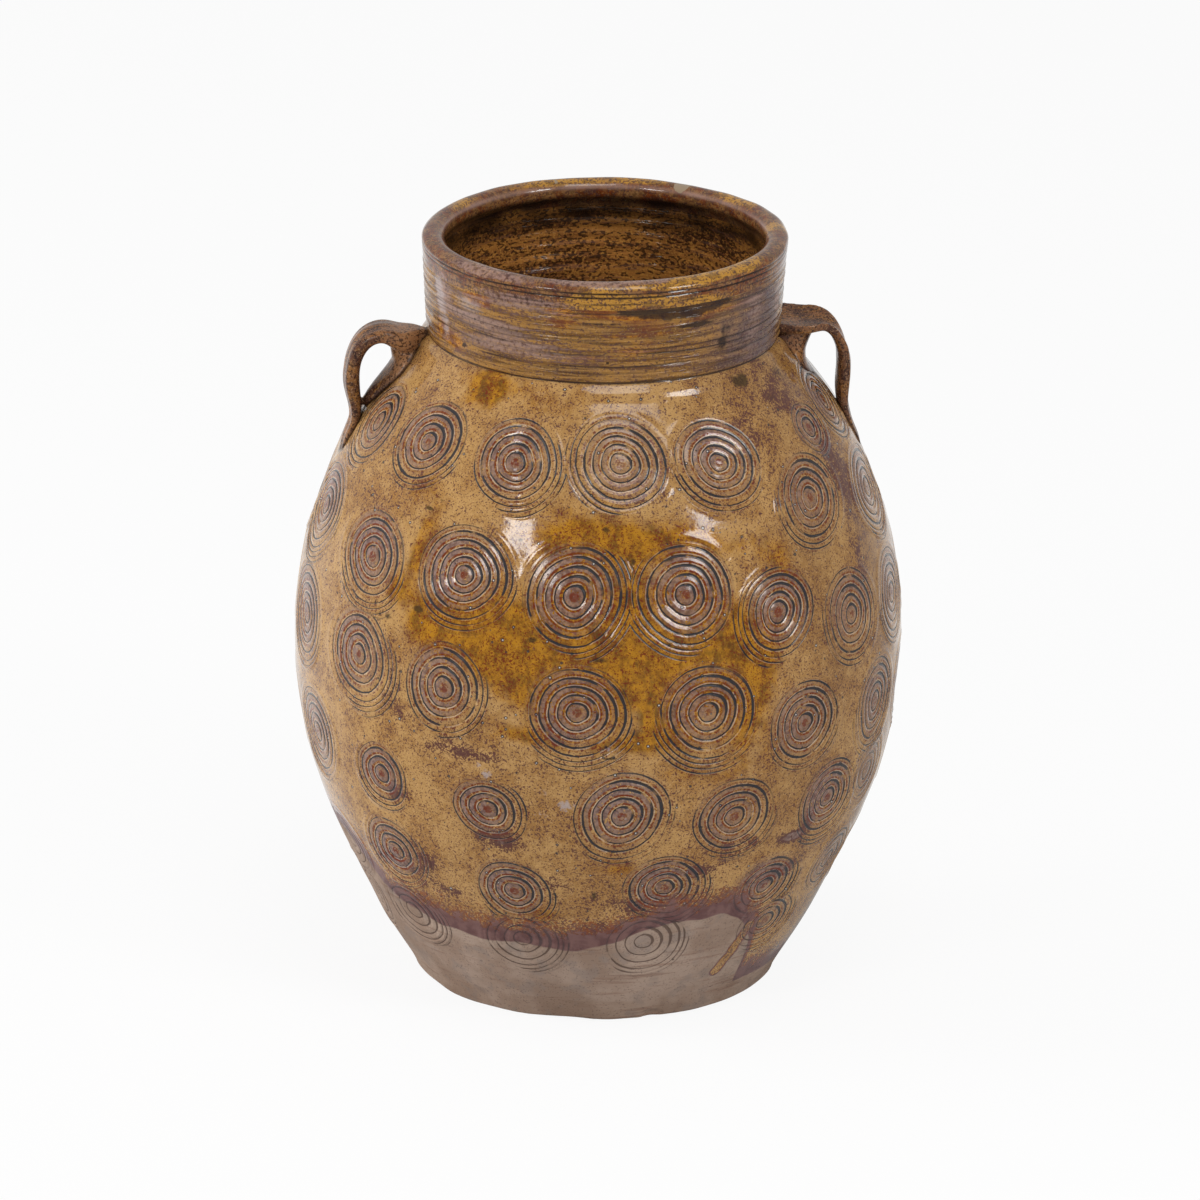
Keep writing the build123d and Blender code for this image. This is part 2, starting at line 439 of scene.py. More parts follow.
def pressStamp(s, pick, angle, height, radius, depth, mauve, side):
    window = windowAround(angle, height, radius * 1.35)
    level = np.array([-math.sin(angle), math.cos(angle), 0])
    upward = np.cross(np.array(wallNormal(angle, height)), level)
    away = base[window] - wallPoint(angle, height)
    x, y = away @ level, away @ upward
    toward, out = np.arctan2(y, x), np.hypot(x, y)
    # no print is quite round
    oval = 1 + s["oval"] * np.cos(2 * (toward - pick.uniform(0, 3)))
    wander = sum(a * np.cos(m * toward + pick.uniform(0, 6)) for m, a in s["wander"])
    distance = out * oval + wander * np.minimum(1, out / 12)
    share = distance / radius
    lean = 0.5 + 0.5 * np.cos(toward - side)
    # thin arcs go on past the edge on the side that the stamp rocked to
    rocked = smooth(0.55, 0.95, 0.5 + 0.5 * np.cos(toward - side + pick.uniform(-.7, .7)))
    reach = share / (1 + rocked * pick.uniform(*s["rocking"]))
    pitch = s["pitch"] * pick.uniform(.94, 1.08)
    half = s["firstRing"] / 2
    place = np.minimum(distance, radius - half) - s["firstRing"] * pick.uniform(.92, 1.06)
    place = place / pitch + np.maximum(0, distance - radius + half) / s["arcPitch"]
    broken = np.cos(2 * toward + pick.uniform(0, 6)) * np.cos(toward + pick.uniform(0, 6))
    wear = 1 - 0.75 * (0.5 - 0.5 * broken) * smooth(0.6, 0.95, share)
    core = 1 - smooth(0.5, 0.98, share + 0.14 * np.cos(toward - side))
    prints = {
        "ringPlace": place,
        "ringFade": 1 - smooth(0.94, 1.02, reach),
        "ringWear": depth * (0.75 + 0.25 * lean) * wear,
        "ringMauve": mauve * core * (0.85 + 0.15 * np.cos(toward - side + 2.4)),
        # towards the upper right of every print, where the groove lines get painted shade
        "ringShadeSide": np.cos(toward - math.radians(40)),
    }
    closer = reach < nearest[window]
    for grid, value in ((nearest, reach), *((fields[name], value) for name, value in prints.items())):
        grid[window] = np.where(closer, value, grid[window])
    dish = -s["press"] * depth * np.clip(1 - share**2, 0, 1) ** 1.5 * (0.75 + 0.25 * lean)
    edge = s["edgeRise"] * np.exp(-((share - 1.06) / 0.07) ** 2)
    form[window] += (dish + edge).astype(np.float32)


for index, stamp in enumerate(stamps):
    pressStamp(stampSettings, np.random.default_rng(900 + index), *stamp)
crests = np.abs(np.sin(math.pi * np.maximum(fields["ringPlace"], -1.1))) ** 0.75
fine += stampSettings["relief"] * (crests - 0.8) * fields["ringFade"] * fields["ringWear"]

unevenness = {
    "wobble": 0.45,        # mm, from throwing and joining the sections
    "ripple": 0.12,        # mm
    "neckRoll": 1.0,       # mm, clay squeezed out under the neck's foot
    "neckRidges": 0.28,    # mm, ridges round the neck, and their pitch
    "neckRidgePitch": 4.7,
    "throwing": 0.10,      # mm, soft throwing ridges all over
    "insideRings": 0.35,   # mm
    "footWobble": 0.7,
    "skewTop": 1.1,        # mm, the neck sits a little off the body's middle
    "rimTilt": 0.0042,     # radians, the mouth is not quite level
    "lumps": 70,
    "chip": (652, 1008),   # the pixel of the chip at the foot
    "chipDepth": 2.2,
}
uneven = SimpleNamespace(**unevenness)
form += uneven.wobble * waves(3, 26, 7, 90)
form += uneven.ripple * waves(4, 40, 26, 22)
roll = np.exp(-((rowHeight - neckSeam + 4.5) / 2.6) ** 2) * isOuter
form += uneven.neckRoll * roll[:, None] * (0.7 + 0.3 * waves(11, 10, 8, 400))
ridged = isOuter & (rowHeight > neckSeam) & (rowHeight < rimSeam)
side = smooth(.1, .75, np.abs(np.sin(theta + math.radians(95))))[None, :]
ridges = np.cos(2 * math.pi * rowHeight[:, None] / uneven.neckRidgePitch + waves(12, 8, 6, 50))[ridged]
form[ridged] += (uneven.neckRidges * side * ridges).astype(np.float32)
thrown = np.sin(rowLength[:, None] / 7.5 + 1.1 * waves(5, 10, 5, 60))
form += uneven.throwing * thrown * (0.6 + 0.4 * waves(6, 10, 6, 60))

# the neck: many fine combed lines, a cut line at its foot and two under the rim
neckLines = {
    "lines": 25,
    "depth": (0.08, 0.34),
    "footLine": 1.25,
    "rimLines": (425.6, 423.0),
    "rimLineDepth": 0.55,
}


def cutLine(height, depth, width, seed, wander, breaks):
    near = np.where(isOuter & (np.abs(rowHeight - height) < 4 * width + 3 * wander))[0]
    r = np.random.default_rng(seed)

    def swing(counts):
        return sum(r.uniform(.2, .6) * np.cos(m * theta + r.uniform(0, 6)) for m in counts)

    gap = (rowHeight[near][:, None] - height - wander * swing((1, 2, 3, 5, 9))) / width
    strength = 1 - breaks * np.clip(swing((2, 3, 7, 13)) + .4, 0, 1)
    fine[near] -= (depth * strength[None, :] * np.exp(-gap**2)).astype(np.float32)


lineRng = np.random.default_rng(17)
spacing = (rimSeam + 5 - neckSeam - 3) / neckLines["lines"]
for index in range(neckLines["lines"]):
    height = neckSeam + 2.6 + index * spacing + lineRng.normal(0, .35)
    cutLine(height, lineRng.uniform(*neckLines["depth"]), lineRng.uniform(.45, .75), 200 + index, .35, .8)
cutLine(neckSeam, neckLines["footLine"], .85, 301, .25, .25)
for index, height in enumerate(neckLines["rimLines"]):
    cutLine(height, neckLines["rimLineDepth"], .5, 310 + index, .2, .5)

# pits, blisters and the chip at the foot
pitRng = np.random.default_rng(77)
for _ in range(uneven.lumps):
    height, angle, size, deep = (float(pitRng.uniform(*span)) for span in
                                 ((20, 420), (0, 2 * math.pi), (.9, 2.2), (-.45, .25)))
    window = windowAround(angle, height, size * 3)
    away = np.linalg.norm(base[window] - wallPoint(angle, height), axis=-1) / size
    form[window] += (deep * np.exp(-away**2)).astype(np.float32)
nearFoot = np.exp(-np.clip(rowHeight, 0, None) / 9) * isOuter
form += uneven.footWobble * nearFoot[:, None].astype(np.float32) * waves(8, 18, 14, 400)
chipAngle, chipHeight = jarPoint(*uneven.chip)
window = windowAround(chipAngle, max(chipHeight, 3.0), 12)
chipMiddle = wallPoint(chipAngle, max(chipHeight, 2.5))
chipMiddle[2] = 2.0
away = np.linalg.norm((base[window] - chipMiddle) / (5.5, 5.5, 3.0), axis=-1)
form[window] -= (uneven.chipDepth * np.exp(-away**3)).astype(np.float32)
form[rowHeight < 0.5] = np.minimum(form[rowHeight < 0.5], 0)
form[~isOuter] *= 0.6

# inside: throwing rings
inner = slice(rimLast + 1, rowCount)
rings = np.sin(rowHeight[:, None] / 1.15 + 0.8 * waves(9, 8, 4, 60)) * (0.5 + 0.5 * waves(10, 10, 5, 40))
form[inner] += uneven.insideRings * rings[inner]
form[:outerFirst] = 0
print("relief cut")


def place(relief):
    p = base + normal * relief[..., None]
    p[..., 0] += uneven.skewTop * smooth(300, 400, p[..., 2])
    p[..., 2] += uneven.rimTilt * smooth(372, 431, p[..., 2]) * (p[..., 0] - 103)
    return p


def surfaceNormals(p):
    around = np.roll(p, -1, axis=1) - np.roll(p, 1, axis=1)
    n = unit(np.cross(around, np.gradient(p, axis=0)))
    n[0], n[-1] = (0, 0, -1), (0, 0, 1)
    return n


points = place(form + fine)
shading = surfaceNormals(place(form))


# Where the glaze changes: fields that the materials read

glazeSettings = {
    # the lower edge of the glaze, by pixels from left to right
    "edge": [
        (350, 835), (400, 900), (442, 924), (463, 932), (484, 938), (554, 950), (598, 949), (667, 924),
        (702, 920), (724, 913), (740, 918), (752, 940), (740, 965), (729, 985), (722, 1002),
    ],
    # and round the back, as angle in degrees and height in mm
    "backEdge": [
        (-20, 9), (0, 26), (25, 52), (55, 64), (85, 58), (115, 72), (145, 84), (175, 92),
    ],
    "drip": [
        (751, 925), (741, 938), (729, 955), (716, 971),
    ],
    "dripWidth": 4.2,
    # soft spots: x, y, half width and half height in mm, strength
    "amber": [
        (605, 645, 50, 30, 1), (700, 655, 38, 26, 1), (505, 640, 30, 20, .8), (430, 620, 22, 12, .9),
        (487, 386, 16, 10, .9), (410, 352, 4, 13, 1.3), (640, 545, 40, 9, .6), (750, 668, 16, 22, .5),
        (475, 296, 10, 6, 1.5), (664, 281, 30, 3, 1.4), (440, 325, 9, 8, .5), (455, 342, 14, 6, .5),
        (600, 303, 14, 5, 1.3), (650, 300, 16, 3, 1), (700, 305, 20, 7, 1), (555, 310, 9, 2, .9),
        (480, 272, 8, 2, .8), (700, 274, 30, 2.5, 1.3), (560, 190, 30, 3, .9), (735, 262, 9, 4, 1),
        (480, 204, 14, 3, .8), (640, 187, 24, 2, .6), (715, 203, 20, 3, .8), (752, 226, 9, 5, .8),
        (500, 262, 14, 2, .5), (600, 660, 60, 14, 1), (745, 720, 12, 26, .5), (520, 735, 14, 5, .6),
        (480, 640, 14, 10, .8), (690, 640, 30, 10, .9), (560, 748, 16, 6, .4), (733, 545, 20, 9, .4),
        (575, 545, 14, 9, .6), (650, 745, 20, 7, .5), (700, 775, 24, 7, .35), (415, 560, 7, 16, .6),
        (598, 300, 22, 4, 1), (640, 317, 30, 3, .6), (560, 325, 14, 4, .5), (640, 335, 34, 7, .45),
        (450, 338, 8, 16, .1), (555, 690, 12, 12, .5), (655, 700, 8, 18, .8), (500, 905, 8, 6, .3),
        (545, 915, 14, 6, .4), (395, 585, 8, 10, .6), (610, 232, 90, 4, .4), (620, 745, 14, 5, .4),
        (800, 612, 5, 8, .3), (630, 868, 16, 6, .35), (600, 625, 80, 44, .3), (700, 725, 40, 24, .35),
        (430, 510, 16, 24, .3), (600, 525, 56, 20, .3), (530, 700, 30, 18, .3), (570, 400, 56, 12, .3),
        (345, 590, 10, 22, .3), (780, 560, 12, 20, .3),
    ],
    "mauve": [
        (508, 301, 34, 6, .85), (500, 344, 36, 7, .8), (480, 322, 40, 5, .5), (752, 325, 10, 20, .8),
        (470, 318, 26, 3, .9), (440, 290, 10, 12, 1.1), (775, 395, 16, 12, .55), (775, 300, 5, 20, .9),
        (748, 430, 12, 18, .25), (845, 470, 8, 30, .5), (830, 460, 8, 26, .5), (452, 748, 10, 7, .4),
        (500, 840, 16, 7, .7), (395, 792, 9, 5, .8), (640, 905, 20, 7, .6), (700, 872, 14, 5, .6),
        (775, 872, 18, 8, .7), (793, 836, 9, 3.5, 1.5), (395, 860, 20, 7, .6), (860, 560, 6, 20, .4),
        (590, 278, 45, 1.6, .8), (480, 272, 30, 2, .9), (640, 500, 14, 6, .35), (540, 883, 14, 6, .5),
        (752, 975, 9, 16, .9), (812, 815, 5, 6, .9), (483, 756, 16, 4, .5), (430, 745, 9, 3, .4),
        (740, 845, 20, 4, .4), (600, 930, 24, 5, .5), (560, 740, 10, 8, .4), (396, 700, 6, 16, .3),
        (425, 860, 8, 12, .5), (665, 875, 14, 3, .5), (450, 892, 16, 5, .5),
    ],
    "dusk": [
        (650, 311, 16, 4, 1.3), (680, 312, 18, 4.5, 1.1), (628, 306, 16, 3, .9), (706, 305, 14, 4, .8),
        (735, 325, 12, 10, .5), (690, 325, 14, 1.6, 1), (600, 324, 20, .9, .7), (515, 207, 9, 3, 1.5),
        (429, 508, 3, 1.2, 1.1), (441, 500, 2.2, 1, .7), (418, 609, 4.5, 2.5, 1.1),
        (388, 616, 3, 2.5, .9), (532, 640, 3.5, 2, 1.1), (606, 530, 3, 2.4, 1), (633, 562, 2.6, 2.6, .9),
        (401, 520, 1, 6, .7), (648, 309, 8, 2, 1.3), (665, 305, 8, 1.6, .8), (725, 300, 10, 3, .6),
        (462, 345, 1.6, 1.2, 1.4), (610, 759, 4, 0.8, 1.4), (737, 580, 1.2, 2.4, .6), (601, 661, 6, 2, .8),
        (735, 382, 6, 4, .8), (776, 372, 10, 8, .5), (594, 895, 1.6, 4, .8), (612, 885, 3, 3, .5),
        (700, 640, 6, 2, .5), (521, 540, 2.5, 1.5, .8), (545, 625, 2.5, 1.2, .6), (745, 655, 3, 3, .6),
        (667, 560, 5, 2, .7), (742, 380, 3, 3, .8), (721, 878, 1.4, 1.6, .7), (770, 400, 9, 5, .5),
        (720, 345, 4, 8, .7), (400, 548, 1.4, 7, .6), (420, 702, 2, 1.6, .9), (505, 770, 3, 1, .5),
        (690, 798, 8, .7, .9),
    ],
    # pale milky patches on the body; those on the neck's left are painted sheen
    "bloom": [
        (487, 774, 4, 3, .9), (566, 806, 5, 4, 1), (545, 791, 4, 3, .6), (497, 640, 3, 2, .4),
        (620, 820, 10, 6, .4), (560, 700, 10, 6, .3), (700, 720, 12, 8, .3), (540, 815, 6, 2, .5),
        (610, 750, 8, 4, .4), (478, 765, 3, 2, .6), (466, 304, 14, 5, .9), (438, 296, 5, 12, 1.2),
        (434, 272, 4, 8, 1.2), (444, 325, 4, 10, .8),
    ],
    # browner glaze, and painted shade darkening the jar's right side and the neck's right
    "umber": [
        (855, 500, 24, 60, .9), (835, 650, 22, 60, .7), (800, 800, 22, 40, .5), (885, 640, 12, 60, .6),
        (870, 760, 14, 40, .6), (372, 556, 14, 14, .4), (806, 723, 16, 16, .5), (740, 330, 26, 22, .9),
        (790, 400, 30, 26, .8), (805, 520, 14, 40, .6), (790, 590, 16, 30, .4), (760, 760, 24, 30, .35),
        (700, 300, 24, 5, .4), (765, 320, 16, 26, 1.2), (430, 900, 20, 10, .2), (720, 385, 20, 10, .4),
    ],
    "rusty": [
        (598, 310, 13, 5, 1.3), (560, 322, 12, 3, .7), (640, 322, 18, 2.5, .9), (700, 318, 16, 2.5, .8),
        (585, 345, 14, 2, .5), (610, 300, 8, 3, 1), (655, 328, 16, 2.5, .8), (540, 297, 8, 2, .8),
        (690, 345, 16, 3, .5), (470, 345, 9, 3, .25),
    ],
    "bare": [
        (674, 188, 5, 3, 1.2), (560, 186, 2, 2, .5),
    ],
    "backSpots": 46,
}

# how the spots go on round the back, and how strong they get where they meet: seed, half width
# and half height in mm, and the most
spotKinds = {
    "amber": (51, 24, 15, 1.2),
    "mauve": (52, 18, 8, 1.2),
    "umber": (55, 30, 34, 1),
    "dusk": (53, 3.2, 2.2, 1.2),
    "bloom": (54, 5, 4, 1),
    "rusty": (56, 12, 4, 1),
    "bare": (57, 1, 1, 1),
}


def turnFrom(angle):
    # the angle from here to each column, the short way round
    return (theta[None, :] - angle + math.pi) % (2 * math.pi) - math.pi


def spotField(name, seed, halfWidth, halfHeight, most):
    spots = [(*jarPoint(x, y), w, h, s) for x, y, w, h, s in glazeSettings[name]]
    r = np.random.default_rng(seed)
    for _ in range(glazeSettings["backSpots"]):
        size = r.uniform(.5, 1.4)
        angle, height = r.uniform(.25, 2.9), r.uniform(70, 410)
        spots.append((angle, height, halfWidth * size, halfHeight * size, r.uniform(.3, .95)))
    out = np.zeros(gridShape, np.float32)
    for angle, height, wide, tall, strength in spots:
        across = wallRadius(height) * turnFrom(angle) / wide
        up = (rowHeight[:, None] - height) / tall
        out += (strength * np.exp(-(across * across + up * up))).astype(np.float32)
    return np.clip(out, 0, most)


def glazeEdgeHeight():
    places = [jarPoint(x, y) for x, y in glazeSettings["edge"]]
    places += [(math.radians(a), h) for a, h in glazeSettings["backEdge"]]
    turn, height = np.array(places).T
    turn %= 2 * math.pi
    order = np.argsort(turn)
    edge = np.interp(theta, turn[order], height[order], period=2 * math.pi)
    reach = columns // 160
    wrapped = np.concatenate([edge[-reach:], edge, edge[:reach]])
    return np.convolve(wrapped, hanning(reach), "valid")


def distanceToDrip():
    path = [jarPoint(x, y) for x, y in glazeSettings["drip"]]
    best = np.full(gridShape, 99, np.float32)
    for (a0, h0), (a1, h1) in zip(path, path[1:]):
        r = wallRadius((h0 + h1) / 2)
        x, y = turnFrom(a0) * r, rowHeight[:, None] - h0
        dx, dy = (a1 - a0) * r, h1 - h0
        t = np.clip((x * dx + y * dy) / (dx * dx + dy * dy), 0, 1)
        best = np.minimum(best, np.hypot(x - t * dx, y - t * dy)).astype(np.float32)
    return best


for name, kind in spotKinds.items():
    fields[name] = spotField(name, *kind)
aboveEdge = rowHeight[:, None] - glazeEdgeHeight() + 1.2 * waves(31, 30, 40, 30)
drip = glazeSettings["dripWidth"] - distanceToDrip() + 0.5 * waves(32, 12, 60, 9)
fields["glazeDepth"] = np.clip(np.maximum(aboveEdge, 14 * drip), -60, 60)
print("glaze fields ready")


# Materials

def tone(red, green, blue):
    # a colour as it is seen on a screen, 0 to 255
    def linear(c):
        c /= 255
        return c / 12.92 if c <= 0.04045 else ((c + 0.055) / 1.055) ** 2.4
    return (linear(red), linear(green), linear(blue), 1.0)


def tones(looks):
    return SimpleNamespace(**{k: tone(*v) if isinstance(v, tuple) else v for k, v in looks.items()})


class Wire:
    # what comes out of a node: wires can be added, multiplied and so on, like numbers
    def __init__(self, socket):
        self.socket = socket

    def __getitem__(self, name):
        return Wire(self.socket.node.outputs[name])


desk = {"tree": None}      # the node tree that new nodes go to


def startTree(tree):
    tree.nodes.clear()
    desk["tree"] = tree


def put(kind, inputs=None, **settings):
    tree = desk["tree"]
    node = tree.nodes.new(kind)
    for name, value in settings.items():
        setattr(node, name, value)
    for name, value in (inputs or {}).items():
        if isinstance(value, Wire):
            tree.links.new(value.socket, node.inputs[name])
        else:
            node.inputs[name].default_value = value
    return Wire(node.outputs[0]) if len(node.outputs) else None


def calc(operation, a, b=0.0):
    return put("ShaderNodeMath", {0: a, 1: b}, operation=operation)


def arithmetic(operation):
    return (lambda a, b: calc(operation, a, b)), (lambda a, b: calc(operation, b, a))


Wire.__add__, Wire.__radd__ = arithmetic("ADD")
Wire.__sub__, Wire.__rsub__ = arithmetic("SUBTRACT")
Wire.__mul__, Wire.__rmul__ = arithmetic("MULTIPLY")
Wire.__truediv__, Wire.__rtruediv__ = arithmetic("DIVIDE")
Wire.__pow__, Wire.__rpow__ = arithmetic("POWER")


def clamped(wire):
    wire.socket.node.use_clamp = True
    return wire


def blended(share, a, b):
    return put("ShaderNodeMix", {0: share, 2: a, 3: b})


def mixed(share, a, b):
    return put("ShaderNodeMix", {0: share, 6: a, 7: b}, data_type="RGBA")[2]


def layered(colour, *layers):
    # each layer is a share and the tone that it lays over what is below
    for share, over in layers:
        colour = mixed(share, colour, over)
    return colour


def fade(value, low, high, start=0.0, end=1.0):
    inputs = {0: value, 1: low, 2: high, 3: start, 4: end}
    return put("ShaderNodeMapRange", inputs, interpolation_type="SMOOTHSTEP")


def field(name):
    return put("ShaderNodeAttribute", attribute_name=name)["Fac"]


def stretched(vector, scale):
    return put("ShaderNodeVectorMath", {0: vector, 1: scale}, operation="MULTIPLY")


def noise(vector, scale, detail=3.0, stretch=None, roughness=0.6):
    # stretch makes the noise long and thin: larger numbers, finer that way
    place = stretched(vector, stretch) if stretch else vector
    inputs = {"Vector": place, "Scale": scale, "Detail": detail, "Roughness": roughness}
    return put("ShaderNodeTexNoise", inputs)


def ragged(value, *sways):
    # a soft field with noise added to it, so that its edge is ragged
    for sway, amount in sways:
        value = value + (sway - 0.5) * amount
    return value


def makeGroup(name, recipe, **inputs):
    # an effect that more than one material uses: the recipe gives back what comes out, by name
    group = bpy.data.node_groups.new(name, "ShaderNodeTree")
    startTree(group)

    def addSocket(label, way, kind="Float"):
        return group.interface.new_socket(name=label, in_out=way, socket_type="NodeSocket" + kind)

    addSocket("Vector", "INPUT", "Vector")
    for label, value in inputs.items():
        addSocket(label, "INPUT").default_value = value
    given = put("NodeGroupInput")
    results = recipe(*(given[label] for label in ("Vector", *inputs)))
    for label in results:
        addSocket(label, "OUTPUT", "Color" if label == "Colour" else "Float")
    put("NodeGroupOutput", results)
    return group


def use(group, vector, **values):
    return put("ShaderNodeGroup", {"Vector": vector, **values}, node_tree=group)


def spatterRecipe(vector, size, amount):
    # specks that crowd together as the amount goes from 0 to 1, until they cover everything
    level = noise(vector, 1000.0 / size, 1.5, roughness=0.5) - (0.72 - amount * 0.44)
    return {"Mask": fade(level, -0.012, 0.024)}


def pinholesRecipe(vector, size, share, radius):
    # small burst bubbles, dark, with a painted glint at the middle
    cells = put("ShaderNodeTexVoronoi", {"Vector": vector, "Scale": 1000.0 / size})
    chosen = put("ShaderNodeSeparateColor", {0: cells["Color"]})
    picked = calc("LESS_THAN", chosen[0], share)
    reach = cells["Distance"] / (radius * (0.55 + chosen[1] * 0.7))
    return {"Hole": (1.0 - fade(reach, 0.7, 1.0)) * picked, "Glint": (1.0 - fade(reach, 0.25, 0.5)) * picked}


def ringsRecipe(vector):
    # the stamped rings, each from its dark groove outward: a pale line, painted highlight on the ridge and
    # partly thin glaze, a rust one where the glaze gathered and mauve where it ran thin, and their height in
    # mm
    waver = noise(vector, 230.0, 2.0, roughness=0.5)
    worn = noise(vector, 80.0, 2.0, roughness=0.5)
    printed, core, turn = field("ringFade"), field("ringMauve"), field("ringShadeSide")
    place = field("ringPlace") + (waver - 0.5) * 0.16
    off = calc("ABSOLUTE", place - calc("ROUND", place))
    shown = printed * field("ringWear") * calc("GREATER_THAN", place, -0.5)
    # painted shade: the dark groove line is drawn wider towards the upper right of every print, and on the
    # outer rings across from it too
    across = fade(turn, -0.3, -1.0) * fade(place, 1.6, 3.0)
    width = 0.07 + fade(turn, 0.0, 1.0) * 0.10 + across * 0.07 + (worn - 0.5) * 0.14
    line = (1.0 - fade(off / width, 0.75, 1.2)) * fade(shown, 0.1, 0.45)
    phase = calc("FRACT", place) - width
    pale = (1.0 - fade(calc("ABSOLUTE", phase - 0.07), 0.035, 0.075)) * shown
    red = (1.0 - fade(calc("ABSOLUTE", phase - 0.25), 0.09, 0.16)) * calc("GREATER_THAN", place, -0.2)
    middle = 1.0 - fade(place, -0.70, -0.55)
    inner = 1.0 - fade(place, -0.15, 0.0)
    return {
        "Groove": line * fade(worn, 0.32, 0.42),
        "Mauve": calc("MAXIMUM", fade(phase, 0.30, 0.38) * core, inner * (core * 0.8)),
        "Rust": calc("MAXIMUM", red, middle) * printed,
        "CrestHighlight": pale * fade(waver, 0.38, 0.50),
        "Height": (off * 2.0) ** 0.7 * 0.72 * shown - line * 0.25,
    }


def skinRecipe(vector, peel, ripple):
    # the glaze's own surface, in mm: a fine orange peel and slow ripples
    fine = noise(vector, 760.0, 2.0, roughness=0.5)
    slow = noise(vector, 150.0, 2.0, roughness=0.5)
    return {"Height": fine * peel + slow * ripple}


clayLooks = {
    "buff": (144, 120, 103),
    "pale": (166, 144, 128),
    "smudge": (136, 121, 112),
    "scrape": (128, 96, 78),
    "dirt": (92, 72, 62),
    "pit": (70, 52, 42),
    "groove": (84, 62, 50),
    "stain": (116, 92, 78),
    "specular": 0.3,
}
clayTones = tones(clayLooks)


def clayRecipe(vector):
    # unglazed stoneware: pinkish buff, grey smudges, rubbed patches and open pits
    c = clayTones
    broad = noise(vector, 22.0, 4.0)
    smudge = fade(noise(vector, 1000 / 14, 2.0), 0.52, 0.66)
    scrapes = noise(vector, 1.0, 3.0, (30, 30, 420), 0.5)
    grain = noise(vector, 900.0, 3.0, roughness=0.5)
    dirt = use(spatter, vector, Size=1.2, Amount=0.22)
    hole = use(pinholes, vector, Size=8.0, Share=0.3, Radius=0.09)
    colour = layered(
        mixed(fade(broad, 0.38, 0.62), c.buff, c.pale),
        (smudge * 0.55, c.smudge),
        (fade(scrapes, 0.56, 0.70) * 0.5, c.scrape),
        (dirt * 0.4, c.dirt),
        (hole * 0.7, c.pit))
    return {"Colour": colour, "Height": grain * 0.14 + scrapes * 0.3 - hole * 0.4}


spatter = makeGroup("spatter", spatterRecipe, Size=1.0, Amount=0.2)
pinholes = makeGroup("pinholes", pinholesRecipe, Size=6.0, Share=0.4, Radius=0.13)
stampedRings = makeGroup("stampedRings", ringsRecipe)
glazeSkin = makeGroup("glazeSkin", skinRecipe, Peel=0.03, Ripple=0.08)
bareStoneware = makeGroup("bareStoneware", clayRecipe)


def speckled(vector, size, amount, stretch=None):
    place = stretched(vector, stretch) if stretch else vector
    return use(spatter, place, Size=size, Amount=amount)


def makeMaterial(name, recipe, c):
    # the recipe gives a colour, a roughness and a height in mm
    material = bpy.data.materials.new(name)
    material.use_nodes = True
    startTree(material.node_tree)
    colour, roughness, height = recipe(put("ShaderNodeTexCoord")["Object"], c)
    bump = put("ShaderNodeBump", {"Strength": 1.0, "Distance": mm, "Height": height})
    shader = put("ShaderNodeBsdfPrincipled", {"Base Color": colour, "Roughness": roughness, "Normal": bump,
                                              "Specular IOR Level": c.specular})
    put("ShaderNodeOutputMaterial", {0: shader})
    return material


wallGlazeLooks = {
    "ochre": (180, 139, 84),
    "ochreDeep": (156, 113, 60),
    "pale": (192, 152, 98),
    "umber": (122, 86, 48),
    "amber": (172, 118, 18),
    "amberDeep": (118, 74, 6),
    "gold": (190, 138, 30),
    "rust": (106, 36, 2),
    "plum": (88, 52, 46),
    "paleSpeck": (206, 168, 112),
    "mauve": (142, 115, 104),
    "mauveDeep": (102, 76, 70),
    # painted highlight along the ring crests, partly thin glaze
    "crest": (206, 192, 180),
    "groove": (36, 38, 44),
    "dusk": (44, 32, 10),
    "bloom": (168, 158, 160),
    "bead": (206, 198, 190),
    "edgeBand": (118, 83, 78),
    "edgeBandDeep": (98, 62, 60),
    "edgeRust": (128, 64, 28),
    "roughness": 0.065,
    "bareRoughness": 0.78,
    "specular": 0.5,
}


